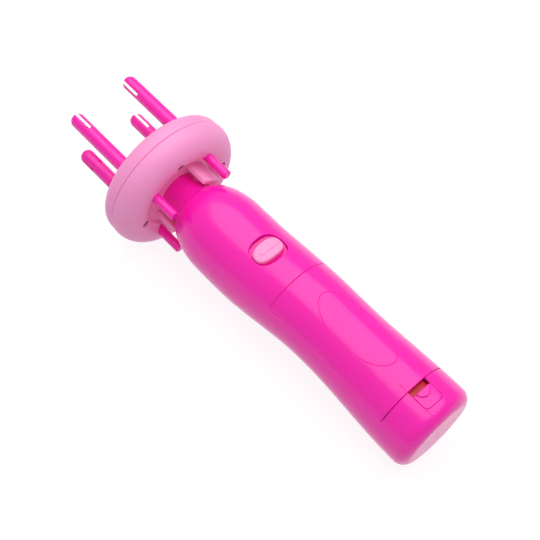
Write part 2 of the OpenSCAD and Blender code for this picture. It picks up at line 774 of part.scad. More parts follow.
module head_front() color(pale_pink) difference() {
  union() {
    rotate_extrude() difference() {
      polygon(concat([[0, seam_z], [front_r, seam_z]],
        arc(front_r - front_round, front_z - front_round, front_round, 0, 90, 10), [[0, front_z]]));
      polygon(concat([[0, seam_z - 1], [front_r - cover_wall, seam_z - 1]],
        arc(front_r - front_round, front_z - front_round, front_round - cover_wall, 0, 90, 8),
        [[0, front_z - cover_wall]]));
    }
    in_head() rotate(45) each_corner(screw_circle_r) rod(boss_r, seam_z, front_z - 1);
  }
  in_head() each_corner(tine_r) rod(tine_d / 2 + running_gap, 0, past);
  in_head() rotate(45) each_corner(screw_circle_r) rod(1.12, 0, front_z - 3);
}

// One-way brake of the head: a ring in the head with two springy pawls in the neck's ratchet
pawl_count = 2;
pawl_ring_r = 19.5;
pawl_t = 1.5;
module pawl_ring() color(ivory) translate([0, 0, flange_z + 0.1]) {
  difference() {
    rod(pawl_ring_r, 0, pawl_t);
    rod(pawl_ring_r - 2.2, -1, pawl_t + 1);
  }
  for (k = [0:pawl_count - 1]) rotate(360 / pawl_count * k) linear_extrude(pawl_t)
    polygon([polar(flange_r - 0.55, 1.6), polar(flange_r - 0.35, 4.2), polar(flange_r + 1.6, 20),
      polar(pawl_ring_r - 1, 36), polar(pawl_ring_r - 1, 31), polar(flange_r + 2.6, 18),
      polar(flange_r + 0.8, 1.6)]);
}

// ---- tines and planets ----
gear_seat_r = 2.7;
tine_turns = [tine_1_turn, tine_2_turn, tine_3_turn, tine_4_turn];
short_prong = 1.4;
slot_offset = 1.2;

// A tine with its thin prong on the +x side
module tine() color(hot_pink) difference() {
  union() {
    rod(tine_d / 2, front_z - cover_wall - 1.6, tip_z - tine_d / 2);
    translate([0, 0, tip_z - tine_d / 2]) sphere(d = tine_d);
    rod(tine_d / 2 + 1.3, front_z - cover_wall - 1.6, front_z - cover_wall - 0.1);
    rod(gear_seat_r, seam_z + 1, front_z - cover_wall - 1);
    rod(spindle_d / 2, -spindle_reach + 1, seam_z + 1.5);
    translate([0, 0, -spindle_reach]) cylinder(r1 = spindle_d / 2 - 0.8, r2 = spindle_d / 2, h = 1);
  }
  box([slot_offset, -tine_d, tip_z - slot_l], [slot_offset + slot_w, tine_d, tip_z + 1]);
  box([slot_offset, -tine_d, tip_z - short_prong], [tine_d, tine_d, tip_z + 1]);
  translate([slot_offset + slot_w / 2, 0, tip_z - slot_l]) rotate([90, 0, 0])
    cylinder(r = scoop_r, h = 2 * tine_d, center = true);
}

module tine_at(k) at_tine(k) rotate(-45 - 90 * k - head_turn + tine_turns[k]) tine();

module planet_at(k) color(ivory) at_tine(k) translate([0, 0, seam_z + 1]) difference() {
  union() {
    rotate(180 + half_planet_pitch) gear(planet_teeth, head_module, head_gear_t);
  }
  rod(gear_seat_r + 0.01, -past, past);
}

module tine_1() tine_at(0);
module tine_2() tine_at(1);
module tine_3() tine_at(2);
module tine_4() tine_at(3);
module planet_gear_1() planet_at(0);
module planet_gear_2() planet_at(1);
module planet_gear_3() planet_at(2);
module planet_gear_4() planet_at(3);

lay_down() front_shell();
lay_down() back_shell();
lay_down() battery_door();
lay_down() door_latch();
lay_down() neck_collar();
lay_down() shaft_bush();
lay_down() gear_plate();
lay_down() motor_plate();
lay_down() gear_pins();
lay_down() motor_can();
lay_down() motor_cap();
lay_down() motor_pinion();
lay_down() first_gear();
lay_down() second_gear();
lay_down() output_gear();
lay_down() drive_shaft();
lay_down() sun_gear();
lay_down() shaft_clip();
lay_down() slide_switch();
lay_down() switch_lever();
lay_down() switch_button();
lay_down() battery_left();
lay_down() battery_right();
lay_down() positive_contact();
lay_down() negative_contact();
lay_down() bridge_contact();
lay_down() contact_spring_left();
lay_down() contact_spring_right();
lay_down() motor_lead();
lay_down() shell_screws();
lay_down() head_front();
lay_down() head_back();
lay_down() cover_screws();
lay_down() pawl_ring();
lay_down() tine_1();
lay_down() tine_2();
lay_down() tine_3();
lay_down() tine_4();
lay_down() planet_gear_1();
lay_down() planet_gear_2();
lay_down() planet_gear_3();
lay_down() planet_gear_4();
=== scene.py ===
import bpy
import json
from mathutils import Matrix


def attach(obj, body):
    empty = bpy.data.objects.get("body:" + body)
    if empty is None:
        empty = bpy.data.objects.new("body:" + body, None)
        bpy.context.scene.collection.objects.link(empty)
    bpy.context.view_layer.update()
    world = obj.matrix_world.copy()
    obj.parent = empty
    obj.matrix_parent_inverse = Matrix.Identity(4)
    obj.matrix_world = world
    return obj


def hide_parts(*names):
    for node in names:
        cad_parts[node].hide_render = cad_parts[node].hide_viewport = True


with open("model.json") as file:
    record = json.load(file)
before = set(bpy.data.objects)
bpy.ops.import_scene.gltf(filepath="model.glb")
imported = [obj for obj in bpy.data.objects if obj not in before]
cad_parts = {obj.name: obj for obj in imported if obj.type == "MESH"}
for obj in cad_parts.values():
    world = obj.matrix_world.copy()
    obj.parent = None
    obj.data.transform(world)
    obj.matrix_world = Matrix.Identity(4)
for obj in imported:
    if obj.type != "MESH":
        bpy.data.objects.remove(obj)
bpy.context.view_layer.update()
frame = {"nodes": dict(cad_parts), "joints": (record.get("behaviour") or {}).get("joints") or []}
"""Automatic hair braider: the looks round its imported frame.

The tool is drawn in its own millimetres, as in the part's source: +z runs along the tool's axis
from the base to the tine tips, z = 0 lies in the head, +y is the side of the switch, and a distance
from the head towards the base is d = -z. A Tool puts each finished piece on the table, where the
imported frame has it.
"""

import json
import logging
from dataclasses import dataclass, field
from enum import Enum
from math import acos, asin, copysign, cos, hypot, pi, radians, sin, sqrt, tan
from typing import Callable, Iterable, Sequence, Union

import bmesh
import bpy
from mathutils import Matrix, Vector

LOG = logging.getLogger("braider")
Point = tuple[float, float]
Triple = tuple[float, float, float]
Ring = list[Vector]
Outline = Callable[[float], list[Point]]
Height = Callable[[float, float], float]
MM = 0.001
SLOT_TURNS = (155, 335, 155, 65)  # degrees round the tool, as each tine stands in the photo
RIM_TURNS = (0, 25, 50, 72)  # degrees round a rim's section
RIM_FLARE = 1.6  # how far a rim flares in all, in its own radii
RIM_OVER = 0.6  # millimetres over the surface at which it flares so far


# ---- shader maths ----
@dataclass(frozen=True)
class Wire:
    """A socket in a material's nodes. Arithmetic on it adds Math nodes."""

    tree: bpy.types.NodeTree
    socket: bpy.types.NodeSocket

    def _math(self, operation: str, other: "Value") -> "Wire":
        """Adds a Math node that works on this value and another."""
        return add_node(self.tree, "ShaderNodeMath", {"operation": operation}, {0: self, 1: other})

    def __add__(self, other: "Value") -> "Wire":
        """Sum."""
        return self._math("ADD", other)

    def __mul__(self, other: "Value") -> "Wire":
        """Product."""
        return self._math("MULTIPLY", other)

    def ramp(self, low: float, high: float) -> "Wire":
        """Rises smoothly from 0 at low to 1 at high."""
        settings = {"interpolation_type": "SMOOTHSTEP"}
        return add_node(self.tree, "ShaderNodeMapRange", settings, {0: self, 1: low, 2: high})

    def between(self, first: "Value", second: "Value") -> "Wire":
        """Mixes two colours, the second where this value is 1."""
        settings = {"data_type": "RGBA"}
        return add_node(self.tree, "ShaderNodeMix", settings, {0: self, 6: first, 7: second}, out=2)


Value = Union[Wire, float, Sequence[float]]


def add_node(
    tree: bpy.types.NodeTree, kind: str, settings: dict, inputs: dict, out: Union[int, str] = 0
) -> Wire:
    """Adds one node.

    Args:
        tree: the material's nodes.
        kind: the node's type.
        settings: its own settings, set before its inputs.
        inputs: the value or wire of each input, by number or name.
        out: the output to return, by number or name.

    Returns:
        The chosen output.
    """
    node = tree.nodes.new(kind)
    for name, value in settings.items():
        setattr(node, name, value)
    for key, value in inputs.items():
        if isinstance(value, Wire):
            tree.links.new(value.socket, node.inputs[key])
        else:
            node.inputs[key].default_value = value
    return Wire(tree, node.outputs[out])


class Shader:
    """A material with a Principled shader, and the patterns that feed it."""

    def __init__(self, name: str) -> None:
        """Makes the material and keeps its shader."""
        self.material = bpy.data.materials.new(name)
        self.material.use_nodes = True
        self.tree = self.material.node_tree
        self.principled = next(n for n in self.tree.nodes if n.type == "BSDF_PRINCIPLED")
        self.place = add_node(self.tree, "ShaderNodeTexCoord", {}, {}, out="Object")

    def noise(
        self, size_mm: float, detail: float = 2.0, stretch: Sequence[float] = (1, 1, 1)
    ) -> Wire:
        """A cloudy pattern.

        Args:
            size_mm: the size of its clouds.
            detail: how many finer layers it has.
            stretch: how many times denser it is along each axis.

        Returns:
            A value between 0 and 1.
        """
        inputs = {0: self.place, "Scale": stretch}
        place = add_node(self.tree, "ShaderNodeMapping", {"vector_type": "POINT"}, inputs)
        inputs = {"Vector": place, "Scale": 1 / (size_mm * MM), "Detail": detail}
        return add_node(self.tree, "ShaderNodeTexNoise", {}, inputs)

    def set(self, **values: float) -> None:
        """Sets constant inputs of the shader, with _ for a blank in a name."""
        for name, value in values.items():
            self.principled.inputs[name.replace("_", " ")].default_value = value

    def feed(self, name: str, wire: Wire) -> None:
        """Feeds one input of the shader."""
        self.tree.links.new(wire.socket, self.principled.inputs[name])

    def relief(self, height: Wire, depth_mm: float) -> None:
        """Turns a height pattern into fine relief, depth_mm deep."""
        inputs = {"Height": height, "Distance": depth_mm * MM, "Strength": 1.0}
        self.feed("Normal", add_node(self.tree, "ShaderNodeBump", {}, inputs))


def srgb(red: int, green: int, blue: int) -> tuple[float, float, float, float]:
    """The linear colour of three sRGB numbers."""
    levels = [n / 255 for n in (red, green, blue)]
    linear = [n / 12.92 if n <= 0.04045 else ((n + 0.055) / 1.055) ** 2.4 for n in levels]
    return (*linear, 1.0)


# ---- finishes ----
@dataclass(frozen=True)
class Moulded:
    """Injection moulded plastic, glossy or satin.

    Colour drifts a little along the flow of the melt, and a faint haze varies the gloss.
    """

    name: str
    colour: tuple[float, float, float, float]
    deep: tuple[float, float, float, float]
    gloss: float
    coat: float
    grain_mm: float
    grain_depth: float
    glow: float = 0.0

    def make(self) -> bpy.types.Material:
        """The finish as a material."""
        shader = Shader(self.name)
        flow = shader.noise(26, 3, (1, 0.35, 1)).ramp(0.3, 0.75)
        shader.feed("Base Color", (flow * 0.35).between(self.colour, self.deep))
        haze = shader.noise(9, 4).ramp(0.35, 0.8)
        streaks = shader.noise(1.6, 2, (1, 0.06, 1)).ramp(0.55, 0.8)
        shader.feed("Roughness", haze * 0.05 + streaks * 0.03 + self.gloss)
        grain = shader.noise(self.grain_mm, 3) + shader.noise(self.grain_mm * 12, 2) * 0.8
        shader.relief(grain, self.grain_depth)
        shader.set(IOR=1.5, Coat_Weight=self.coat, Coat_Roughness=0.04)
        if self.glow:
            shader.set(Subsurface_Weight=self.glow, Subsurface_Scale=2.5 * MM)
            shader.principled.inputs["Subsurface Radius"].default_value = (1.0, 0.25, 0.5)
        return shader.material


@dataclass(frozen=True)
class Metal:
    """Drawn or stamped metal with fine lines along the tool, and a few dull patches."""

    name: str
    colour: tuple[float, float, float, float]
    dull: tuple[float, float, float, float]
    gloss: float

    def make(self) -> bpy.types.Material:
        """The finish as a material."""
        shader = Shader(self.name)
        patches = shader.noise(5, 4).ramp(0.45, 0.8)
        shader.feed("Base Color", (patches * 0.6).between(self.colour, self.dull))
        lines = shader.noise(0.5, 3, (1, 0.08, 1))
        shader.feed("Roughness", patches * 0.15 + lines * 0.12 + self.gloss)
        shader.relief(lines, 0.004)
        shader.set(Metallic=1.0)
        return shader.material


@dataclass(frozen=True)
class PrintedWrap:
    """The printed sleeve of a cell: dark, with one bright band at its end and fine print grain."""

    name: str
    colour: tuple[float, float, float, float]
    band: tuple[float, float, float, float]
    band_start: float = -0.0581
    band_edge: float = 0.0005

    def make(self) -> bpy.types.Material:
        """The finish as a material."""
        shader = Shader(self.name)
        along = add_node(shader.tree, "ShaderNodeSeparateXYZ", {}, {0: shader.place}, out="Y")
        speckle = shader.noise(0.8, 2)
        edge = (along + speckle * 0.0004).ramp(self.band_start, self.band_start + self.band_edge)
        shader.feed("Base Color", edge.between(self.band, self.colour))
        shader.feed("Roughness", shader.noise(4, 3) * 0.15 + 0.22)
        shader.relief(shader.noise(0.6, 2), 0.006)
        return shader.material


HOT_PINK = Moulded(
    "hot_pink_moulded", srgb(254, 20, 180), srgb(248, 10, 164), gloss=0.22, coat=0.05,
    grain_mm=0.5, grain_depth=0.0006, glow=0.12,
)
# Dark red painted shade, not a plastic of its own: it colours the insides of the screw wells and of
# the latch's slot as if they lay in shade.
SHADE_PAINT = Moulded(
    "painted_shade_dark_red", srgb(212, 4, 44), srgb(196, 2, 34), gloss=0.4, coat=0.0,
    grain_mm=0.5, grain_depth=0.003,
)
PALE_PINK = Moulded(
    "pale_pink_moulded", srgb(254, 158, 212), srgb(250, 140, 200), gloss=0.46, coat=0.0,
    grain_mm=0.35, grain_depth=0.006, glow=0.12,
)
IVORY = Moulded(
    "ivory_gear_plastic", srgb(240, 234, 218), srgb(226, 216, 194), gloss=0.38, coat=0.0,
    grain_mm=0.4, grain_depth=0.005,
)
BLACK = Moulded(
    "black_lever_plastic", srgb(34, 34, 38), srgb(22, 22, 26), gloss=0.35, coat=0.0,
    grain_mm=0.4, grain_depth=0.005,
)
STEEL = Metal("bright_steel", srgb(196, 200, 206), srgb(150, 154, 160), gloss=0.22)
BRASS = Metal("stamped_brass", srgb(214, 176, 92), srgb(168, 126, 58), gloss=0.25)
SLEEVE = PrintedWrap("cell_sleeve", srgb(46, 48, 56), srgb(206, 176, 110))


class Slot(Enum):
    """The record's material slots, each with the finish that it gets."""

    HOT_PINK = ("hot_pink_plastic", HOT_PINK)
    PALE_PINK = ("pale_pink_plastic", PALE_PINK)
    IVORY = ("ivory_plastic", IVORY)
    BLACK = ("black_plastic", BLACK)
    STEEL = ("steel", STEEL)
    BRASS = ("brass", BRASS)
    CELL = ("cell_label", SLEEVE)

    @property
    def slot(self) -> str:
        """The slot's name in the record."""
        return self.value[0]


class Paints:
    """Makes each finish's material once and hands it out."""

    def __init__(self) -> None:
        """Starts with only the dark red painted shade made, for the insides of hollows."""
        self._made: dict[Slot, bpy.types.Material] = {}
        self.shade_material = SHADE_PAINT.make()

    def __getitem__(self, slot: Slot) -> bpy.types.Material:
        """The material of a slot's finish."""
        if slot not in self._made:
            self._made[slot] = slot.value[1].make()
        return self._made[slot]


# ---- the tool's own frame ----
@dataclass(frozen=True)
class Tool:
    """How the tool lies: turns its own millimetres into the frame's metres."""

    origin: Vector
    axis: Vector

    @classmethod
    def from_frame(cls) -> "Tool":
        """Reads the tool's axis off the joint that the head turns on."""
        spin = joint("head_spin")
        return cls(Vector(spin["pos_m"]), Vector(spin["axis"]).normalized())

    @property
    def matrix(self) -> Matrix:
        """From the tool's millimetres to the frame's metres."""
        across = Vector((-1, 0, 0))
        up = self.axis.cross(across)
        turn = Matrix((across, up, self.axis)).transposed().to_4x4()
        return Matrix.Translation(self.origin) @ turn @ Matrix.Scale(MM, 4)

    @property
    def lean(self) -> float:
        """The axis's lean above the table, in radians."""
        return asin(self.axis.z)

    def local(self, place: Sequence[float]) -> Vector:
        """A place of the frame, in metres, in the tool's millimetres."""
        return self.matrix.inverted() @ Vector(place)


def joint(name: str) -> dict:
    """The record's joint of that name."""
    return next(j for j in frame["joints"] if j["name"] == name)


# ---- making solids ----
class Work(Enum):
    """What a boolean does with its second solid."""

    CUT = "DIFFERENCE"
    KEEP = "INTERSECT"
    JOIN = "UNION"


class Solid:
    """A mesh in the making, in the tool's millimetres."""

    def __init__(self) -> None:
        """Starts empty."""
        self.bm = bmesh.new()

    def loft(self, rings: Sequence[Ring], closed: bool = False) -> "Solid":
        """Grows a closed skin through rings of equally many points.

        Args:
            rings: the rings, in order.
            closed: whether the last ring joins the first. Otherwise both ends are capped.

        Returns:
            This solid.
        """
        count = len(rings[0])
        verts = bmesh.ops.create_circle(self.bm, segments=count, radius=1)["verts"]
        verts.sort(key=lambda v: v.index)
        loop = [self._edge(verts[k - 1], verts[k]) for k in range(count)]
        self._put(verts, rings[0])
        first = list(loop)
        for ring in rings[1:]:
            grown = bmesh.ops.extrude_edge_only(self.bm, edges=loop)["geom"]
            fresh = {g for g in grown if isinstance(g, bmesh.types.BMVert)}
            ends = ([e.other_vert(v) for e in v.link_edges] for v in verts)
            verts = [next(v for v in others if v in fresh) for others in ends]
            loop = [self._edge(verts[k - 1], verts[k]) for k in range(count)]
            self._put(verts, ring)
        if closed:
            bmesh.ops.bridge_loops(self.bm, edges=first + loop)
        else:
            bmesh.ops.holes_fill(self.bm, edges=first, sides=0)
            bmesh.ops.holes_fill(self.bm, edges=loop, sides=0)
        return self.outward()

    def outward(self) -> "Solid":
        """Turns every face outwards."""
        bmesh.ops.recalc_face_normals(self.bm, faces=self.bm.faces)
        if self.bm.calc_volume(signed=True) < 0:
            bmesh.ops.reverse_faces(self.bm, faces=self.bm.faces)
        return self

    @staticmethod
    def _edge(a: bmesh.types.BMVert, b: bmesh.types.BMVert) -> bmesh.types.BMEdge:
        """The edge between two points."""
        return next(e for e in a.link_edges if e.other_vert(a) is b)

    @staticmethod
    def _put(verts: Iterable[bmesh.types.BMVert], ring: Ring) -> None:
        """Moves points onto a ring."""
        for vert, place in zip(verts, ring):
            vert.co = place

    def stack(
        self, points: Outline, levels: Sequence[tuple[float, Height]], closed: bool = False
    ) -> "Solid":
        """Grows a skin through one outline at several heights, as seen from the switch side.

        Args:
            points: the outline, drawn outwards by a length.
            levels: how far each ring is drawn outwards, and its height over each point.
            closed: whether the last ring joins the first.

        Returns:
            This solid.
        """
        rings = [[Vector((x, high(x, d), -d)) for x, d in points(grow)] for grow, high in levels]
        return self.loft(rings, closed)

    def revolve(self, outline: Sequence[Point], steps: int) -> "Solid":
        """Spins a closed outline round the z axis.

        Args:
            outline: its corners, as radius and height.
            steps: how many steps a full turn has.

        Returns:
            This solid.
        """
        verts = [self.bm.verts.new((r, 0, z)) for r, z in outline]
        edges = [self.bm.edges.new((verts[k - 1], verts[k])) for k in range(len(verts))]
        bmesh.ops.spin(
            self.bm, geom=verts + edges, cent=(0, 0, 0), axis=(0, 0, 1), angle=2 * pi,
            steps=steps, use_merge=True, use_normal_flip=False,
        )
        bmesh.ops.remove_doubles(self.bm, verts=self.bm.verts, dist=1e-4)
        return self.outward()

    def rod(self, radius: float, low: float, high: float, steps: int) -> "Solid":
        """A round rod along the z axis."""
        return self.revolve([(0, low), (radius, low), (radius, high), (0, high)], steps)

    def block(self, low: Sequence[float], high: Sequence[float], rounding: float) -> "Solid":
        """A block between two corners, with rounded edges."""
        low, high = Vector(low), Vector(high)
        verts = bmesh.ops.create_cube(self.bm, size=1)["verts"]
        bmesh.ops.scale(self.bm, vec=high - low, verts=verts)
        bmesh.ops.translate(self.bm, vec=(low + high) / 2, verts=verts)
        bmesh.ops.bevel(
            self.bm, geom=self.bm.edges, offset=rounding, segments=4, profile=0.5,
            affect="EDGES", material=-1,
        )
        return self

    def turned(self, angle: float) -> "Solid":
        """This solid turned round the z axis, in radians."""
        bmesh.ops.rotate(
            self.bm, cent=(0, 0, 0), matrix=Matrix.Rotation(angle, 3, "Z"), verts=self.bm.verts
        )
        return self

    def moved(self, offset: Sequence[float]) -> "Solid":
        """This solid moved by an offset."""
        bmesh.ops.translate(self.bm, vec=offset, verts=self.bm.verts)
        return self

    def paint_shade(self) -> "Solid":
        """Gives every face the second material, a dark red painted shade for the inside of a
        hollow.
        """
        for face in self.bm.faces:
            face.material_index = 1
        return self

    def add(self, other: "Solid") -> "Solid":
        """Takes another solid in as it is, as a shell of its own."""
        mesh = bpy.data.meshes.new("part")
        other.bm.to_mesh(mesh)
        self.bm.from_mesh(mesh)
        bpy.data.meshes.remove(mesh)
        return self

    def work(self, how: Work, *others: "Solid") -> "Solid":
        """Cuts, keeps or joins with other solids, one after the other."""
        for other in others:
            made = [solid.as_object("boolean") for solid in (self, other)]
            step = made[0].modifiers.new("step", "BOOLEAN")
            step.operation, step.object, step.solver = how.value, made[1], "EXACT"
            step.use_hole_tolerant = False
            graph = bpy.context.evaluated_depsgraph_get()
            mesh = bpy.data.meshes.new_from_object(made[0].evaluated_get(graph))
            self.bm.clear()
            self.bm.from_mesh(mesh)
            bpy.data.meshes.remove(mesh)
            for piece in made:
                mesh = piece.data
                bpy.data.objects.remove(piece)
                bpy.data.meshes.remove(mesh)
            bmesh.ops.dissolve_degenerate(self.bm, dist=1e-4, edges=self.bm.edges)
        return self

    def as_object(self, name: str) -> bpy.types.Object:
        """The mesh so far as an object of its own."""
        mesh = bpy.data.meshes.new(name)
        self.bm.to_mesh(mesh)
        made = bpy.data.objects.new(name, mesh)
        bpy.context.scene.collection.objects.link(made)
        return made

    def crease(self, angle: float) -> None:
        """Shades smoothly, with sharp edges where faces meet at more than an angle."""
        for face in self.bm.faces:
            face.smooth = True
        for edge in self.bm.edges:
            edge.smooth = len(edge.link_faces) == 2 and edge.calc_face_angle(0) < angle


@dataclass
class Workshop:
    """Turns solids into finished pieces that ride on the frame."""

    tool: Tool
    paints: Paints
    crease_angle: float = radians(32)

    def finish(self, solid: Solid, node: str, slot: Slot, body: str) -> None:
        """Places, paints and mounts a solid that stands for a CAD node.

        Args:
            solid: the solid, in the tool's millimetres.
            node: the node, which the piece is named after.
            slot: its material slot, which gives its finish.
            body: the body that it rides on.
        """
        solid.crease(self.crease_angle)
        bmesh.ops.transform(solid.bm, matrix=self.tool.matrix, verts=solid.bm.verts)
        piece = solid.as_object(f"{node}_moulding")
        piece.data.materials.append(self.paints[slot])
        # Faces marked as in shade get the dark red painted shade as a second material.
        if any(face.material_index for face in solid.bm.faces):
            piece.data.materials.append(self.paints.shade_material)
        solid.bm.free()
        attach(piece, body)
        slot.slot
        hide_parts(node)
        LOG.info("%s: %d faces, on %s", piece.name, len(piece.data.polygons), body)


# ---- outlines ----
def oval(
    width: float, length: float, middle: float, count: int, grow: float = 0.0, power: float = 2.0
) -> list[Point]:
    """An oval as seen from the switch side, as points (x, d).

    Args:
        width: its width across the tool.
        length: its length along the tool.
        middle: the place of its middle along the tool.
        count: how many points it has.
        grow: how far it is drawn outwards.
        power: 2 for an ellipse, more for a squarer oval.

    Returns:
        The points.
    """
    a, b = width / 2 + grow, length / 2 + grow
    turns = [2 * pi * k / count for k in range(count)]
    square = lambda t: copysign(abs(t) ** (2 / power), t)
    return [(a * square(cos(t)), middle + b * square(sin(t))) for t in turns]


def round_box(
    half: float, start: float, end: float, corners: Point, grow: float = 0.0
) -> list[Point]:
    """A rectangle with round corners, as points (x, d), evenly laid along its sides.

    Args:
        half: half its width.
        start: its upper end.
        end: its lower end.
        corners: the radius of its upper and of its lower corners.
        grow: how far it is drawn outwards.

    Returns:
        The points.
    """
    half, start, end = half + grow, start - grow, end + grow
    first, last = (max(c + grow, 0.05) for c in corners)
    arcs = [
        arc(half - last, end - last, last, 0, 90, 6),
        arc(last - half, end - last, last, 90, 180, 6),
        arc(first - half, start + first, first, 180, 270, 6),
        arc(half - first, start + first, first, 270, 360, 6),
    ]
    points = []
    for k, corner in enumerate(arcs):
        (x0, d0), (x1, d1) = corner[-1], arcs[(k + 1) % 4][0]
        steps = 40 if k % 2 else 20
        shares = [i / steps for i in range(1, steps)]
        points += corner + [(x0 + (x1 - x0) * t, d0 + (d1 - d0) * t) for t in shares]
    return points


def arc(cx: float, cz: float, radius: float, start: float, end: float, steps: int) -> list[Point]:
    """Points along an arc, with its angles in degrees."""
    turns = [radians(start + (end - start) * k / steps) for k in range(steps + 1)]
    return [(cx + radius * cos(t), cz + radius * sin(t)) for t in turns]


def bend(start: Point, corner: Point, end: Point) -> list[Point]:
    """Nine points along a parabola from start to end, whose tangents meet at a corner."""
    return [
        tuple((1 - t) ** 2 * a + 2 * t * (1 - t) * b + t * t * c
              for a, b, c in zip(start, corner, end))
        for t in (k / 8 for k in range(9))
    ]


def rim_section(lip: float) -> list[Point]:
    """A rounded rim's section.

    Args:
        lip: its radius.

    Returns:
        How far it flares at each of its heights over the surface, from its foot upwards.
    """
    turns = [radians(turn) for turn in RIM_TURNS]
    return [(lip * (1 - cos(t)), lip * (sin(t) - 1)) for t in turns] + [(lip * RIM_FLARE, RIM_OVER)]


def ease(t: float) -> float:
    """Rises smoothly from 0 to 1."""
    t = min(max(t, 0.0), 1.0)
    return t * t * (3 - 2 * t)


# ---- the handle ----
@dataclass(frozen=True)
class HandleForm:
    """The handle's outside: a round section whose radius and offset change along the axis."""

    lean: float
    rest_depth: float
    neck_r: float = 10.5
    neck_flare: float = 2.4
    neck_flare_l: float = 9.0
    lip: float = 15.0
    shoulder_start: float = 18.0
    shoulder_l: float = 26.0
    motor_part_r: float = 22.4
    bulge_end: float = 64.0
    waist_r: float = 20.6
    waist_at: float = 120.0
    base_r: float = 23.0
    base_edge_r: float = 6.0
    base_end: float = 186.0
    arch: float = 7.3
    arch_start: float = 56.0
    arch_top: float = 112.0
    wall: float = 2.0
    switch_at: float = 70.0
    recess_sink: float = 2.6

    @property
    def recess_floor(self) -> float:
        """Height of the floor of the switch's recess."""
        return self.motor_part_r - self.recess_sink

    @property
    def shoulder_end(self) -> float:
        """Where the shoulder has reached its full radius."""
        return self.shoulder_start + self.shoulder_l

    @property
    def base_corner(self) -> float:
        """Where the rounding of the base's edge starts."""
        return self.base_end - self.base_edge_r

    @property
    def base_shift(self) -> float:
        """The base's offset from the axis, so that its edge lies on the table."""
        flat = self.base_r - self.base_edge_r
        sunk = self.base_corner * sin(self.lean) + self.base_edge_r - self.rest_depth
        return sunk / cos(self.lean) + flat

    def radius(self, d: float) -> float:
        """The body's radius, apart from its shoulder and its base's edge."""
        if d < self.waist_at:
            t = (d - self.bulge_end) / (self.waist_at - self.bulge_end)
            return self.motor_part_r + (self.waist_r - self.motor_part_r) * ease(t)
        t = (d - self.waist_at) / (self.base_corner - 2 - self.waist_at)
        return self.waist_r + (self.base_r - self.waist_r) * ease(t)

    def shift(self, d: float) -> float:
        """How far the section's middle stands off the axis."""
        if d < self.arch_top:
            return self.arch * ease((d - self.arch_start) / (self.arch_top - self.arch_start))
        t = (d - self.arch_top) / (self.base_corner - 2 - self.arch_top)
        return self.arch + (self.base_shift - self.arch) * ease(t)

    def top(self, x: float, d: float) -> float:
        """Height of the outside on the switch side."""
        return self.shift(d) + sqrt(max(self.radius(d) ** 2 - x * x, 0.0))

    def neck(self, d: float) -> float:
        """The neck's radius, which flares towards the shoulder."""
        t = (d - self.shoulder_start + self.neck_flare_l) / self.neck_flare_l
        return self.neck_r + self.neck_flare * min(max(t, 0.0), 1.0)

    def outline(self) -> list[Point]:
        """The outside from the neck to the middle of the base, as points (d, radius)."""
        sleeve = self.neck_r + 0.3
        blend_end = radians(16)
        tall, wide = self.shoulder_l, self.motor_part_r - sleeve
        foot = (self.shoulder_end - tall * cos(blend_end), sleeve + wide * sin(blend_end))
        start = (self.lip, self.neck(self.lip) + 0.03)
        rise = self.neck_flare / self.neck_flare_l
        climb = wide * cos(blend_end) / (tall * sin(blend_end))
        reach = (foot[1] - start[1] - climb * (foot[0] - start[0])) / (rise - climb)
        fillet = bend(start, (start[0] + reach, start[1] + rise * reach), foot)
        turns = [blend_end + (pi / 2 - blend_end) * k / 22 for k in range(1, 23)]
        shoulder = [(self.shoulder_end - tall * cos(t), sleeve + wide * sin(t)) for t in turns]
        straight = self.base_corner - self.shoulder_end
        places = [self.shoulder_end + straight * k / 80 for k in range(1, 81)]
        body = [(d, self.radius(d)) for d in places]
        flat = self.base_r - self.base_edge_r
        edge = [(self.base_corner + z, r) for r, z in arc(flat, 0, self.base_edge_r, 0, 90, 12)[1:]]
        end = [(self.base_end, flat * (1 - k / 5)) for k in range(1, 6)]
        return fillet + shoulder + body + edge + end


@dataclass
class Pocket:
    """A straight-sided shape through the handle's wall, whose rim at the surface is rounded."""

    form: HandleForm
    points: Outline
    lip: float = 0.35
    low: float = 5.0
    clear: float = 45.0

    def solid(self, outwards: bool) -> Solid:
        """The shape as a solid.

        Args:
            outwards: whether its rim flares outwards, for a hole, or inwards, for a piece.

        Returns:
            The solid.
        """
        side = 1 if outwards else -1
        levels = [(0, lambda x, d: self.low)]
        levels += [(side * grow, lambda x, d, r=rise: self.form.top(x, d) + r)
                   for grow, rise in rim_section(self.lip)]
        levels.append((side * self.lip * RIM_FLARE, lambda x, d: self.clear))
        return Solid().stack(self.points, levels)


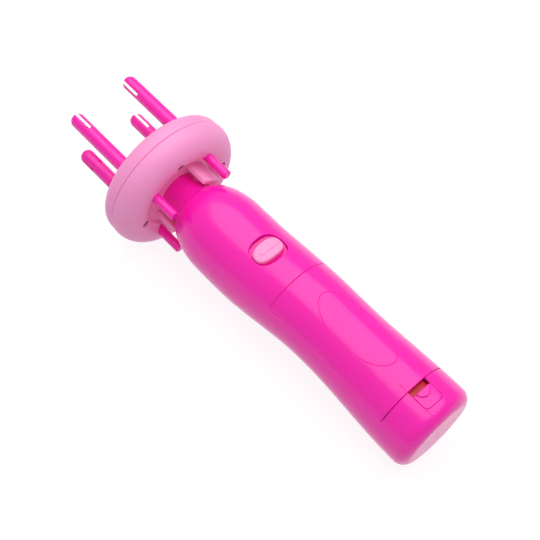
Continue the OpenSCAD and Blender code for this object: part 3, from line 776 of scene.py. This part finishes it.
@dataclass
class DoorSpace:
    """The space that the door fills in the handle's wall, with rounded rims at the surface."""

    form: HandleForm
    start: float
    end: float
    rise: float
    draft: float = 0.0
    lip: float = 0.35
    clear: float = 45.0
    reach: float = 30.0
    columns: int = 72
    rows: int = 60

    def solid(self, outwards: bool) -> Solid:
        """The space as a solid.

        Args:
            outwards: whether its rims flare outwards, for the opening, or inwards, for the door.

        Returns:
            The solid.
        """
        side = 1 if outwards else -1
        depths = [-RIM_OVER] + [self.lip * (1 - cos(radians(turn))) for turn in (20, 45, 70, 90)]
        shares = [1 - 2 * k / self.columns for k in range(1, self.columns)]
        places = [(-RIM_OVER, lambda d: self.reach)]
        places += [(depth, lambda d, s=depth: self.edge(d) - s) for depth in depths]
        places += [(self.lip, lambda d, q=q: q * (self.edge(d) - self.lip)) for q in shares]
        places += [(depth, lambda d, s=depth: s - self.edge(d)) for depth in reversed(depths)]
        places.append((-RIM_OVER, lambda d: -self.reach))
        return Solid().loft([self._ring(side, depth, across) for depth, across in places])

    def _ring(self, side: int, depth: float, across: Callable[[float], float]) -> Ring:
        """One outline of the space, across the tool.

        Args:
            side: 1 for the opening, -1 for the door.
            depth: how far inside the surface the ring meets the space's lower side.
            across: its place across the tool, by the distance along it.

        Returns:
            The ring, from the lower side over both ends to the top.
        """
        inside = min(max(self.lip - depth, 0.0), self.lip)
        low_side = self.rise - side * (self.lip - sqrt(self.lip ** 2 - inside ** 2))
        low = lambda d: self.form.shift(d) + low_side
        steps = [self.start + (self.end - self.start) * k / self.rows for k in range(1, self.rows)]
        floor = [Vector((across(d), low(d), -d)) for d in steps]
        foot = self._end(side, self.end, 1, across(self.end), low(self.end))
        head = self._end(side, self.start, -1, across(self.start), low(self.start))
        return floor + foot + head[::-1]

    def _end(self, side: int, d: float, way: int, x: float, low: float) -> Ring:
        """One end of a ring, from the lower side up over the rim."""
        top = self.form.top(min(abs(x), self.form.radius(d)), d)
        rows = [(low, 0.0)] + [(top + rise, grow) for grow, rise in rim_section(self.lip)]
        rows.append((self.clear, self.lip * RIM_FLARE))
        slope = tan(self.draft) if way > 0 else 0.0
        points = []
        for k, (y, grow) in enumerate(rows):
            y = max(y, low + 0.02 * k)
            lean = slope * max(self.form.top(0, d) - y, 0.0)
            points.append(Vector((x, y, -(d + way * (side * grow - lean)))))
        return points

    def edge(self, d: float) -> float:
        """How far across the space's lower side meets the surface."""
        return sqrt(self.form.radius(d) ** 2 - self.rise ** 2)


@dataclass
class Groove:
    """A shallow engraved line on a surface whose height is known."""

    top: Height
    width: float = 0.5
    depth: float = 0.28

    def loop(self, points: Outline) -> Solid:
        """A groove that follows a closed outline."""
        half = self.width / 2
        section = [(-half, 0.3), (-half, 0.0), (-half * 0.5, -self.depth * 0.8), (0, -self.depth),
                   (half * 0.5, -self.depth * 0.8), (half, 0.0), (half, 0.3)]
        levels = [(grow, lambda x, d, h=high: self.top(x, d) + h) for grow, high in section]
        return Solid().stack(points, levels, closed=True)

    def stroke(self, path: Sequence[Point]) -> Solid:
        """A groove along a curve through a few points, thinner towards its ends."""
        last = len(path) - 1
        curve = [self._between(path, last * k / 32) for k in range(33)]
        rings = []
        for k, middle in enumerate(curve):
            run = curve[min(k + 1, 32)] - curve[max(k - 1, 0)]
            across = Vector((run.y, -run.x)).normalized()
            share = max(min(1.0, 8 * sin(pi * k / 32)), 0.12)
            half, deep = self.width / 2 * share, self.depth * share
            section = [(-1, 0.3), (-1, 0.0), (-0.4, -deep), (0.4, -deep), (1, 0.0), (1, 0.3)]
            places = [(*(middle + across * half * side), high) for side, high in section]
            rings.append([Vector((x, self.top(x, d) + high, -d)) for x, d, high in places])
        return Solid().loft(rings)

    @staticmethod
    def _between(path: Sequence[Point], t: float) -> Vector:
        """A point of the smooth curve through a path's points."""
        k = min(int(t), len(path) - 2)
        t -= k
        near = (min(max(i, 0), len(path) - 1) for i in (k - 1, k, k + 1, k + 2))
        a, b, c, d = (Vector(path[i]) for i in near)
        square, cube = 2 * a - 5 * b + 4 * c - d, 3 * b - a - 3 * c + d
        return 0.5 * (2 * b + (c - a) * t + square * t ** 2 + cube * t ** 3)


@dataclass
class Handle:
    """The two shells, the battery door and its latch."""

    shop: Workshop
    form: HandleForm
    columns: int = 96
    seam_bevel: float = 0.22
    door_start: float = 91.5
    door_l: float = 75.0
    door_rise: float = 10.0
    door_gap: float = 0.14
    door_draft: float = radians(2)
    hook_x: float = 8.5
    hook_blocks: tuple[tuple[Triple, Triple, float], ...] = (
        ((-2.2, -5.2, -3.5), (2.2, -3.6, 2.8), 0.3),
        ((-2.2, -5.0, -3.5), (2.2, 1.0, -0.5), 0.2),
    )
    latch_slot: float = 3.3
    latch_l: float = 8.5
    latch_w: float = 11.0
    latch_corner: float = 2.4
    latch_foot_gap: float = 0.1
    nose_depth: float = 5.5
    nose_back: float = 2.0
    nose_reach: float = 1.5
    nose_edge_r: float = 0.2
    thumb_r: float = 4.0
    thumb_rise: float = 0.7
    recess_l: float = 15.6
    recess_w: float = 18.4
    recess_power: float = 2.6
    oval_w: float = 21.0
    oval_l: float = 46.6
    oval_at: float = 129.2
    tick: tuple[Point, ...] = ((5.4, 161.0), (5.7, 162.6), (5.5, 165.2))
    latch_line: tuple[Point, ...] = ((5.7, 177.4), (5.65, 179.4), (5.55, 181.4))
    pit: Point = (5.5, 181.6)
    pit_r: float = 0.42
    pit_depth: float = 0.5
    screw_r: float = 2.7
    screw_rows: tuple[Triple, ...] = ((15.5, 55.0, -9.0), (14.0, 174.0, -5.0))
    far: float = 40.0

    @property
    def door_end(self) -> float:
        """The lower end of the door's opening."""
        return self.door_start + self.door_l

    @property
    def latch_start(self) -> float:
        """The upper end of the latch."""
        return self.door_end + self.latch_slot

    @property
    def latch_end(self) -> float:
        """The lower end of the latch."""
        return self.latch_start + self.latch_l

    def half_shell(self, side: int) -> Solid:
        """One moulded shell, as a wall of even thickness with its seam's edge broken.

        Args:
            side: 1 for the shell on the switch side, -1 for the other.

        Returns:
            The shell, without openings.
        """
        outline = self.form.outline()
        rows = len(outline) - 1
        solid = Solid()
        bmesh.ops.create_grid(solid.bm, x_segments=self.columns, y_segments=rows, size=1)
        for vert in solid.bm.verts:
            turn = (vert.co.x + 1) / 2 * pi
            d, r = outline[round((vert.co.y + 1) / 2 * rows)]
            vert.co = (r * cos(turn), self.form.shift(d) + side * r * sin(turn), -d)
        bmesh.ops.remove_doubles(solid.bm, verts=solid.bm.verts, dist=1e-4)
        bmesh.ops.recalc_face_normals(solid.bm, faces=solid.bm.faces)
        level = -self.form.switch_at
        middle = min(solid.bm.faces, key=lambda f: abs(f.calc_center_median().z - level))
        if middle.normal.dot(middle.calc_center_median() * Vector((1, 1, 0))) < 0:
            bmesh.ops.reverse_faces(solid.bm, faces=solid.bm.faces)
        rim = [e for e in solid.bm.edges if e.is_boundary]
        bmesh.ops.solidify(solid.bm, geom=solid.bm.faces[:], thickness=self.form.wall)
        rim = [e for e in rim if e.is_valid]
        bmesh.ops.bevel(
            solid.bm, geom=rim, offset=self.seam_bevel, segments=3, profile=0.5,
            affect="EDGES", material=-1, clamp_overlap=True,
        )
        bmesh.ops.recalc_face_normals(solid.bm, faces=solid.bm.faces)
        return solid

    def latch_outline(self, inset: float) -> Outline:
        """The latch's outline drawn in by inset, or with none, its opening with the slot."""
        half = self.latch_w / 2 + self.door_gap - inset
        start = self.latch_start if inset else self.door_end - 1.5
        end = self.latch_end if inset else self.latch_end + self.latch_foot_gap
        return lambda grow: round_box(half, start, end, (0.3, self.latch_corner - inset), grow)

    def recess_outline(self, grow: float) -> list[Point]:
        """The outline of the switch's recess."""
        size = self.recess_w, self.recess_l
        return oval(*size, self.form.switch_at, 96, grow, self.recess_power)

    def recess_cup(self) -> Solid:
        """The recess's floor and walls, under its opening in the shell."""
        floor, top = self.form.recess_floor, self.form.top
        levels = [(1.5, lambda x, d: floor - 1.2), (1.5, lambda x, d: top(x, d) - 1.2)]
        levels.append((0.0, lambda x, d: top(x, d) - 0.9))
        levels += [(grow, lambda x, d, r=rise: floor + r)
                   for grow, rise in ((0.0, 0.5), (-0.15, 0.15), (-0.5, 0.0))]
        return Solid().stack(self.recess_outline, levels)

    @staticmethod
    def bore(x: float, d: float, radius: float, low: float, high: float) -> Solid:
        """A round cutter upright to the seam between the shells."""
        rod = Solid().rod(radius, low, high, 32)
        turn = Matrix.Rotation(-pi / 2, 3, "X")
        bmesh.ops.rotate(rod.bm, cent=(0, 0, 0), matrix=turn, verts=rod.bm.verts)
        return rod.moved((x, 0, -d))

    def front(self) -> None:
        """The shell with the switch, and the openings for the door and the latch."""
        shell = self.half_shell(1)
        door = DoorSpace(self.form, self.door_start, self.door_end, self.door_rise)
        latch = Pocket(self.form, self.latch_outline(0), 0.3)
        recess = Pocket(self.form, self.recess_outline, 0.5)
        shell.work(Work.CUT, *(space.solid(outwards=True) for space in (door, latch, recess)))
        stroke = Groove(self.form.top).stroke(self.latch_line)
        floor = self.form.top(*self.pit) - self.pit_depth
        pit = self.bore(*self.pit, self.pit_r, floor, self.far)
        shell.work(Work.CUT, stroke, pit).add(self.recess_cup())
        self.shop.finish(shell, "front_shell", Slot.HOT_PINK, "handle")

    def back(self) -> None:
        """The other shell, with its four screw holes."""
        shell = self.half_shell(-1)
        for x, d, seat in self.screw_rows:
            for side in (1, -1):
                shell.work(Work.CUT, self.bore(side * x, d, self.screw_r, -self.far, seat))
        self.shop.finish(shell, "back_shell", Slot.HOT_PINK, "handle")

    def door(self) -> None:
        """The battery door with its engraved oval and tick."""
        gap = self.door_gap
        ends = self.door_start + gap, self.door_end - gap
        space = DoorSpace(self.form, *ends, self.door_rise + gap, self.door_draft)
        panel = self.half_shell(1).work(Work.KEEP, space.solid(outwards=False))
        groove = Groove(self.form.top)
        ring = groove.loop(lambda g: oval(self.oval_w, self.oval_l, self.oval_at, 128, g))
        panel.work(Work.CUT, ring, groove.stroke(self.tick))
        inner = self.form.radius(self.door_start) - self.form.wall
        seat = self.form.shift(self.door_start) + sqrt(inner ** 2 - self.hook_x ** 2)
        for x in (-self.hook_x, self.hook_x):
            for corners in self.hook_blocks:
                panel.add(Solid().block(*corners).moved((x, seat, -self.door_start)))
        self.shop.finish(panel, "battery_door", Slot.HOT_PINK, "door")

    def latch(self) -> None:
        """The press latch: a tongue with a half-round thumb rest and a nose under the door."""
        tongue = self.half_shell(1)
        shape = Pocket(self.form, self.latch_outline(self.door_gap), 0.3)
        tongue.work(Work.KEEP, shape.solid(outwards=False))
        tongue.add(self.thumb_rest())
        top, half = self.form.top(0, self.latch_start), self.latch_w / 2 - 0.1
        low = (-half, -self.nose_depth, -self.nose_back)
        # Both nose blocks are painted dark red: painted shade for the inside of the slot above
        # them.
        for high, end in ((-1.2, -0.1), (-3.6, self.latch_slot + self.nose_reach)):
            nose = Solid().block(low, (half, high, end), self.nose_edge_r)
            tongue.add(nose.paint_shade().moved((0, top, -self.latch_start)))
        self.shop.finish(tongue, "door_latch", Slot.HOT_PINK, "latch")

    def thumb_rest(self) -> Solid:
        """The half-round bump at the latch's upper edge."""
        start = self.latch_start
        top = self.form.top(0, start) + self.thumb_rise

        def half_round(grow: float) -> list[Point]:
            """The bump's outline, flat towards the slot."""
            r, edge = self.thumb_r + grow, start - grow * 0.5
            return arc(0, edge, r, 0, 180, 30) + [(-r + 2 * r * k / 12, edge) for k in range(1, 12)]

        profile = ((0.0, 2.4), (0.0, 0.7), (-0.08, 0.4), (-0.3, 0.12), (-0.7, 0.0))
        return Solid().stack(half_round, [(g, lambda x, d, s=sink: top - s) for g, sink in profile])

    def build(self) -> None:
        """Builds all four pieces."""
        self.front()
        self.back()
        self.door()
        self.latch()


@dataclass
class Neck:
    """The collar that carries the head, with the ratchet on its end."""

    shop: Workshop
    form: HandleForm
    bore_r: float = 4.52
    flange_r: float = 13.4
    flange_z: float = -2.5
    flange_t: float = 1.7
    teeth: int = 24
    tooth_depth: float = 1.1

    def build(self) -> None:
        """Builds the collar."""
        r, back = self.form.neck_r, -self.form.shoulder_start
        outline = [(self.bore_r, back - 5), (r + 1.5, back - 5), (r + 1.6, back - 4.9),
                   (r + 1.6, back - 3.6), (r, back - 3.6), (r, back), (self.form.neck(-back), back)]
        outline += [(self.form.neck(-back - k), back + k) for k in (1, 2, 3, 4, 5, 6, 7)]
        outline += [(r + 0.12, back + 8), (r, back + 9.6), (r, -3.6), (r, self.flange_z - 0.2),
                    (r - 0.2, self.flange_z), (self.bore_r, self.flange_z)]
        collar = Solid().revolve(outline, 128)
        outer = []
        for k in range(self.teeth):
            a = 2 * pi * k / self.teeth
            outer += [(self.flange_r, a), (self.flange_r - self.tooth_depth, a + radians(0.5))]
        levels = [self.flange_z, self.flange_z + self.flange_t]
        rings = [[Vector((q * cos(a), q * sin(a), z)) for q, a in outer] for z in levels]
        collar.add(Solid().loft(rings).work(Work.CUT, Solid().rod(self.bore_r, -9, 9, 64)))
        self.shop.finish(collar, "neck_collar", Slot.HOT_PINK, "handle")


# ---- the switch ----
@dataclass
class SwitchButton:
    """The oval slide button, with a fine line across its top that hooks at one end."""

    shop: Workshop
    form: HandleForm
    width: float = 16.6
    length: float = 9.8
    power: float = 2.6
    proud: float = 1.0
    edge_r: float = 0.9
    line_w: float = 0.45
    line_depth: float = 0.3
    stem: Triple = (1.9, 15.9, 3.0)
    line: tuple[Point, ...] = ((-6.6, 70.8), (-2.0, 70.9), (2.6, 70.8), (4.7, 70.5), (5.3, 68.9))

    def crown(self, x: float, _: float = 0.0) -> float:
        """Height of the button's top, which follows the handle's round."""
        top = self.form.motor_part_r + self.proud
        return sqrt(top * top - x * x)

    def build(self) -> None:
        """Builds the button."""
        foot, middle = self.form.recess_floor + 0.25, self.form.switch_at
        levels = [(-0.25, lambda x, d: foot), (0.0, lambda x, d: foot + 0.25)]
        for turn in (0, 20, 40, 60, 80, 90):
            grow = -self.edge_r * (1 - cos(radians(turn)))
            sink = self.edge_r * (1 - sin(radians(turn)))
            levels.append((grow, lambda x, d, s=sink: self.crown(x) - s))
        levels += [(-share, self.crown) for share in (2.0, 3.2, 4.2)]
        size = self.width, self.length
        pad = Solid().stack(lambda g: oval(*size, middle, 96, g, self.power), levels)
        line = Groove(self.crown, self.line_w, self.line_depth).stroke(self.line)
        pad.work(Work.CUT, line)
        x, low, z = self.stem
        pad.add(Solid().block((-x, low, -middle - z), (x, foot + 1, -middle + z), 0.2))
        self.shop.finish(pad, "switch_button", Slot.PALE_PINK, "switch")


# ---- the head ----
@dataclass(frozen=True)
class TinePlaces:
    """Where the four tines stand in the head, read off their joints."""

    places: tuple[Vector, ...]

    @classmethod
    def from_frame(cls, tool: Tool) -> "TinePlaces":
        """Reads the places of all four tines."""
        return cls(tuple(tool.local(joint(f"tine_{k}_spin")["pos_m"]) for k in range(1, 5)))

    @property
    def first_turn(self) -> float:
        """The angle of the first tine round the axis, in radians."""
        place = self.places[0]
        return acos(place.x / hypot(place.x, place.y)) * (1 if place.y > 0 else -1)

    @property
    def radius(self) -> float:
        """The radius of the circle that the tines stand on."""
        return hypot(self.places[0].x, self.places[0].y)


@dataclass
class Head:
    """The disc's two covers, with the guards at its back."""

    shop: Workshop
    tines: TinePlaces
    radius: float = 38.0
    back_round: float = 11.0
    seam_z: float = 2.5
    front_z: float = 12.0
    front_round: float = 6.0
    front_inset: float = 0.3
    wall: float = 2.0
    seam_edge: float = 0.25
    seam_gap: float = 0.2
    seam_depth: float = 1.2
    hollow_round: float = 6.1
    dish_z: float = -4.6
    floor_fillet: float = 1.1
    neck_hole_r: float = 10.55
    screw_circle_r: float = 25.7
    screw_hole_r: float = 2.2
    screw_seat: float = -4.0
    well_top: float = -8.0
    thread_r: float = 1.2
    spindle_hole_r: float = 2.55
    tine_hole_r: float = 3.95
    guard_w: float = 12.9
    guard_t: float = 2.6
    guard_r: float = 15.8
    guard_reach: float = 18.5
    guard_edge_r: float = 0.5
    steps: int = 192
    hole_steps: int = 40
    far: float = 30.0

    def back_curve(self, inset: float) -> list[Point]:
        """The back cover's outside from the seam over its crest to the hollow's floor.

        Args:
            inset: how far the curve is drawn in.

        Returns:
            Its points, as radius and height.
        """
        round_r, round_z = self.radius - self.back_round, self.seam_z - 1
        crest = arc(round_r, round_z, self.back_round - inset, 0, -90, 36)
        wide, tall = self.hollow_round - inset, round_z - self.back_round + inset - self.dish_z
        turns = [radians(78 * k / 14) for k in range(1, 15)]
        wall = [(round_r - wide * sin(t), self.dish_z + tall * cos(t)) for t in turns]
        corner = (round_r - wide, self.dish_z + inset)
        return crest + wall + bend(wall[-1], corner, (corner[0] - self.floor_fillet, corner[1]))[1:]

    def around(self, radius: float, offset: float) -> list[Vector]:
        """Four places on a circle, offset from the tines by an angle in radians."""
        turns = [self.tines.first_turn + offset + pi / 2 * k for k in range(4)]
        return [Vector((radius * cos(t), radius * sin(t), 0)) for t in turns]

    def guard(self, side: int) -> Solid:
        """One of the two flat guards, with rounded outer corners."""
        inner, outer = self.guard_r - self.guard_t / 2, self.guard_r + self.guard_t / 2
        low = (inner, -self.guard_w / 2, -self.guard_reach)
        plate = Solid().block(low, (outer, self.guard_w / 2, self.dish_z + 1), self.guard_edge_r)
        return plate.turned(self.tines.first_turn + side * pi / 2)

    def back(self) -> None:
        """The back cover with its bores, screw wells and guards."""
        edge, rim = self.seam_edge, self.seam_z - self.seam_gap
        inside = [p for p in self.back_curve(self.wall) if p[1] < self.seam_z]
        r, step = self.radius, self.radius - self.seam_depth
        outline = [(r - self.wall, self.seam_z), (step, self.seam_z), (step, rim), (r - edge, rim),
                   (r - edge * 0.3, rim - edge * 0.3), (r, rim - edge)]
        neck = [(self.neck_hole_r, z) for z in (self.dish_z, self.dish_z + self.wall)]
        outline += self.back_curve(0) + neck + inside[::-1]
        cover = Solid().revolve(outline, self.steps)
        cover.work(Work.JOIN, *(self.guard(side) for side in (1, -1)))
        for place in self.around(self.tines.radius, 0):
            hole = Solid().rod(self.spindle_hole_r, -self.far, 5, self.hole_steps)
            cover.work(Work.CUT, hole.moved(place))
        bore, outer, seat = self.screw_hole_r, self.screw_hole_r + 1, self.screw_seat
        well = [(bore, self.well_top), (outer, self.well_top), (outer, self.seam_z),
                (self.thread_r, self.seam_z), (self.thread_r, seat), (bore, seat)]
        places = self.around(self.screw_circle_r, pi / 4)
        for place in places:
            cover.work(Work.CUT, Solid().rod(bore, -self.far, seat, self.hole_steps).moved(place))
        # The screw wells are painted dark red: painted shade for the depth of the holes.
        for place in places:
            cover.add(Solid().revolve(well, self.hole_steps).paint_shade().moved(place))
        self.shop.finish(cover, "head_back", Slot.PALE_PINK, "head")

    def front(self) -> None:
        """The front cover with the tines' bores."""
        edge, r, rim = self.seam_edge, self.radius - self.front_inset, self.seam_z + self.seam_gap
        turn_r = r - self.front_round
        turn_z = self.front_z - self.front_round
        outside = arc(turn_r, turn_z, self.front_round, 0, 90, 24)
        inside = arc(turn_r, turn_z, self.front_round - self.wall, 90, 0, 12)
        step = r - self.seam_depth
        outline = [(r - self.wall, self.seam_z), (step, self.seam_z), (step, rim), (r - edge, rim),
                   (r - edge * 0.3, rim + edge * 0.3), (r, rim + edge)] + outside
        outline += [(0, self.front_z), (0, self.front_z - self.wall)] + inside
        cover = Solid().revolve(outline, self.steps)
        for place in self.around(self.tines.radius, 0):
            hole = Solid().rod(self.tine_hole_r, 6, 20, self.hole_steps)
            cover.work(Work.CUT, hole.moved(place))
        self.shop.finish(cover, "head_front", Slot.PALE_PINK, "head")

    def build(self) -> None:
        """Builds both covers."""
        self.back()
        self.front()


@dataclass
class Tine:
    """A tine with its hair slot, its gear seat and its spindle."""

    shop: Workshop
    place: Vector
    number: int
    slot_turn: float
    diameter: float = 7.8
    tip_z: float = 55.7
    spindle_d: float = 5.0
    spindle_reach: float = 24.0
    spindle_edge: float = 0.8
    slot_l: float = 12.0
    slot_w: float = 1.3
    slot_offset: float = 1.2
    scoop_r: float = 1.2
    short_prong: float = 1.4
    flange_z: float = 8.4
    flange_t: float = 1.5
    seat_r: float = 2.7
    seat_z: float = 3.5

    def build(self) -> None:
        """Builds the tine."""
        r, s, edge = self.diameter / 2, self.spindle_d / 2, self.spindle_edge
        outline = [(0, -self.spindle_reach)]
        outline += arc(s - edge, edge - self.spindle_reach, edge, -90, 0, 8)
        outline += [(s, self.seat_z), (self.seat_r, self.seat_z), (self.seat_r, self.flange_z),
                    (r + 1.3, self.flange_z), (r + 1.3, self.flange_z + self.flange_t),
                    (r, self.flange_z + self.flange_t)]
        outline += arc(0, self.tip_z - r, r, 0, 90, 16)
        tine = Solid().revolve(outline[:-1] + [(0, self.tip_z)], 64)
        tine.work(Work.CUT, self.slot(), self.trim())
        tine.turned(radians(self.slot_turn)).moved((self.place.x, self.place.y, 0))
        node = f"tine_{self.number}"
        self.shop.finish(tine, node, Slot.HOT_PINK, f"{node}_turning")

    def across(self, outline: Sequence[Point]) -> Solid:
        """A cutter right across the tine, from its outline in x and z."""
        levels = (-self.diameter, self.diameter)
        return Solid().loft([[Vector((x, y, z)) for x, z in outline] for y in levels])

    def slot(self) -> Solid:
        """The slot's cutter: straight sides, with a round hollow at its end."""
        half, middle = self.slot_w / 2, self.slot_offset + self.slot_w / 2
        bow = arc(middle, self.tip_z - self.slot_l, self.scoop_r, -236, 52, 24)
        return self.across(bow + [(middle + side * half, self.tip_z + 2) for side in (1, -1)])

    def trim(self) -> Solid:
        """The cutter that leaves the thin prong shorter, with a slanted end."""
        x0, x1, z = self.slot_offset, self.diameter, self.tip_z - self.short_prong
        return self.across([(x0, z + 0.3), (x0, z + 6), (x1, z + 6), (x1, z - 1.2)])


# ---- what is kept from the frame ----
@dataclass
class Inside:
    """The inner pieces, which keep their CAD shapes and get their finishes."""

    paints: Paints
    finishes: dict[Slot, tuple[str, ...]] = field(default_factory=lambda: {
        Slot.IVORY: (
            "gear_plate", "motor_plate", "first_gear", "second_gear", "output_gear", "sun_gear",
            "pawl_ring", "motor_cap", *(f"planet_gear_{k}" for k in range(1, 5)),
        ),
        Slot.STEEL: (
            "gear_pins", "motor_can", "drive_shaft", "shaft_clip", "slide_switch", "shell_screws",
            "cover_screws", "contact_spring_left", "contact_spring_right",
        ),
        Slot.BRASS: (
            "shaft_bush", "motor_pinion", "positive_contact", "negative_contact",
            "bridge_contact", "motor_lead",
        ),
        Slot.BLACK: ("switch_lever",),
        Slot.CELL: ("battery_left", "battery_right"),
    })

    def dress(self) -> None:
        """Gives every kept node its finish."""
        for slot, names in self.finishes.items():
            for name in names:
                node = frame["nodes"][name]
                for place in node.material_slots:
                    place.material = self.paints[slot]
                if not node.material_slots:
                    node.data.materials.append(self.paints[slot])
                LOG.info("%s: kept, dressed in %s", name, slot.slot)


# ---- the studio ----
@dataclass
class Studio:
    """A white lit table, a large soft box, and the camera of the photograph.

    The table glows as a light table does, so that it stays white round the tool.
    """

    head: Vector
    behind_head: float = 0.0758
    aside: float = -0.00173
    below: float = 0.0006
    azimuth: float = -43.19
    elevation: float = 55.27
    distance: float = 0.537
    lens: float = 73.52
    floor_half: float = 3.0
    floor_shades: tuple = (srgb(124, 124, 124), srgb(128, 128, 128))
    floor_glow: float = 0.85
    room: float = 0.56
    lamp_place: Triple = (0.25, 0.1, 1.0)
    lamp_size: Point = (1.4, 1.5)
    lamp_watts: float = 8.5

    def camera(self) -> None:
        """The camera at the photograph's angle."""
        a, e = radians(self.azimuth), radians(self.elevation)
        back = Vector((sin(a) * cos(e), -cos(a) * cos(e), sin(e)))
        data = bpy.data.cameras.new("camera")
        data.lens, data.sensor_width, data.clip_start, data.clip_end = self.lens, 36.0, 0.01, 20.0
        camera = bpy.data.objects.new("camera", data)
        right = Vector((0, 0, 1)).cross(back).normalized()
        aim = self.head - Vector((0, self.behind_head, 0))
        aim += right * self.aside + back.cross(right) * self.below
        camera.location = aim + back * self.distance
        camera.rotation_euler = (-back).to_track_quat("-Z", "Y").to_euler()
        bpy.context.scene.collection.objects.link(camera)
        bpy.context.scene.camera = camera

    def floor(self) -> None:
        """The white table."""
        solid = Solid()
        bmesh.ops.create_grid(solid.bm, x_segments=8, y_segments=8, size=self.floor_half)
        floor = solid.as_object("table_top")
        shader = Shader("white_table")
        shader.feed("Base Color", shader.noise(300, 2).between(*self.floor_shades))
        shader.set(Roughness=0.8, Specular_IOR_Level=0.1, Emission_Strength=self.floor_glow)
        shader.principled.inputs["Emission Color"].default_value = (1, 1, 1, 1)
        floor.data.materials.append(shader.material)
        floor.visible_diffuse = floor.visible_shadow = False
        shader.material.cycles.emission_sampling = "NONE"

    def light(self) -> None:
        """The soft box straight above, and the room's light."""
        data = bpy.data.lights.new("overhead_box", "AREA")
        data.shape, data.energy = "ELLIPSE", self.lamp_watts
        data.size, data.size_y = self.lamp_size
        lamp = bpy.data.objects.new("overhead_box", data)
        lamp.location = self.lamp_place
        down = Vector((0, 0, -self.lamp_place[2]))
        lamp.rotation_euler = down.to_track_quat("-Z", "Y").to_euler()
        bpy.context.scene.collection.objects.link(lamp)
        world = bpy.data.worlds.new("room")
        world.use_nodes = True
        background = world.node_tree.nodes["Background"]
        background.inputs["Color"].default_value = (1, 1, 1, 1)
        background.inputs["Strength"].default_value = self.room
        bpy.context.scene.world = world
        bpy.context.scene.view_settings.view_transform = "Standard"

    def build(self) -> None:
        """Sets the studio up."""
        self.camera()
        self.floor()
        self.light()


def main() -> None:
    """Builds the tool's pieces in order and sets up the studio."""
    logging.basicConfig(level=logging.INFO, format="%(name)s: %(message)s")
    tool = Tool.from_frame()
    paints = Paints()
    shop = Workshop(tool, paints)
    form = HandleForm(tool.lean, tool.origin.z / MM)
    tines = TinePlaces.from_frame(tool)
    Handle(shop, form).build()
    Neck(shop, form).build()
    SwitchButton(shop, form).build()
    Head(shop, tines).build()
    for number, (place, turn) in enumerate(zip(tines.places, SLOT_TURNS), start=1):
        Tine(shop, place, number, turn).build()
    Inside(paints).dress()
    Studio(tool.origin).build()


if __name__ == "__main__":
    main()
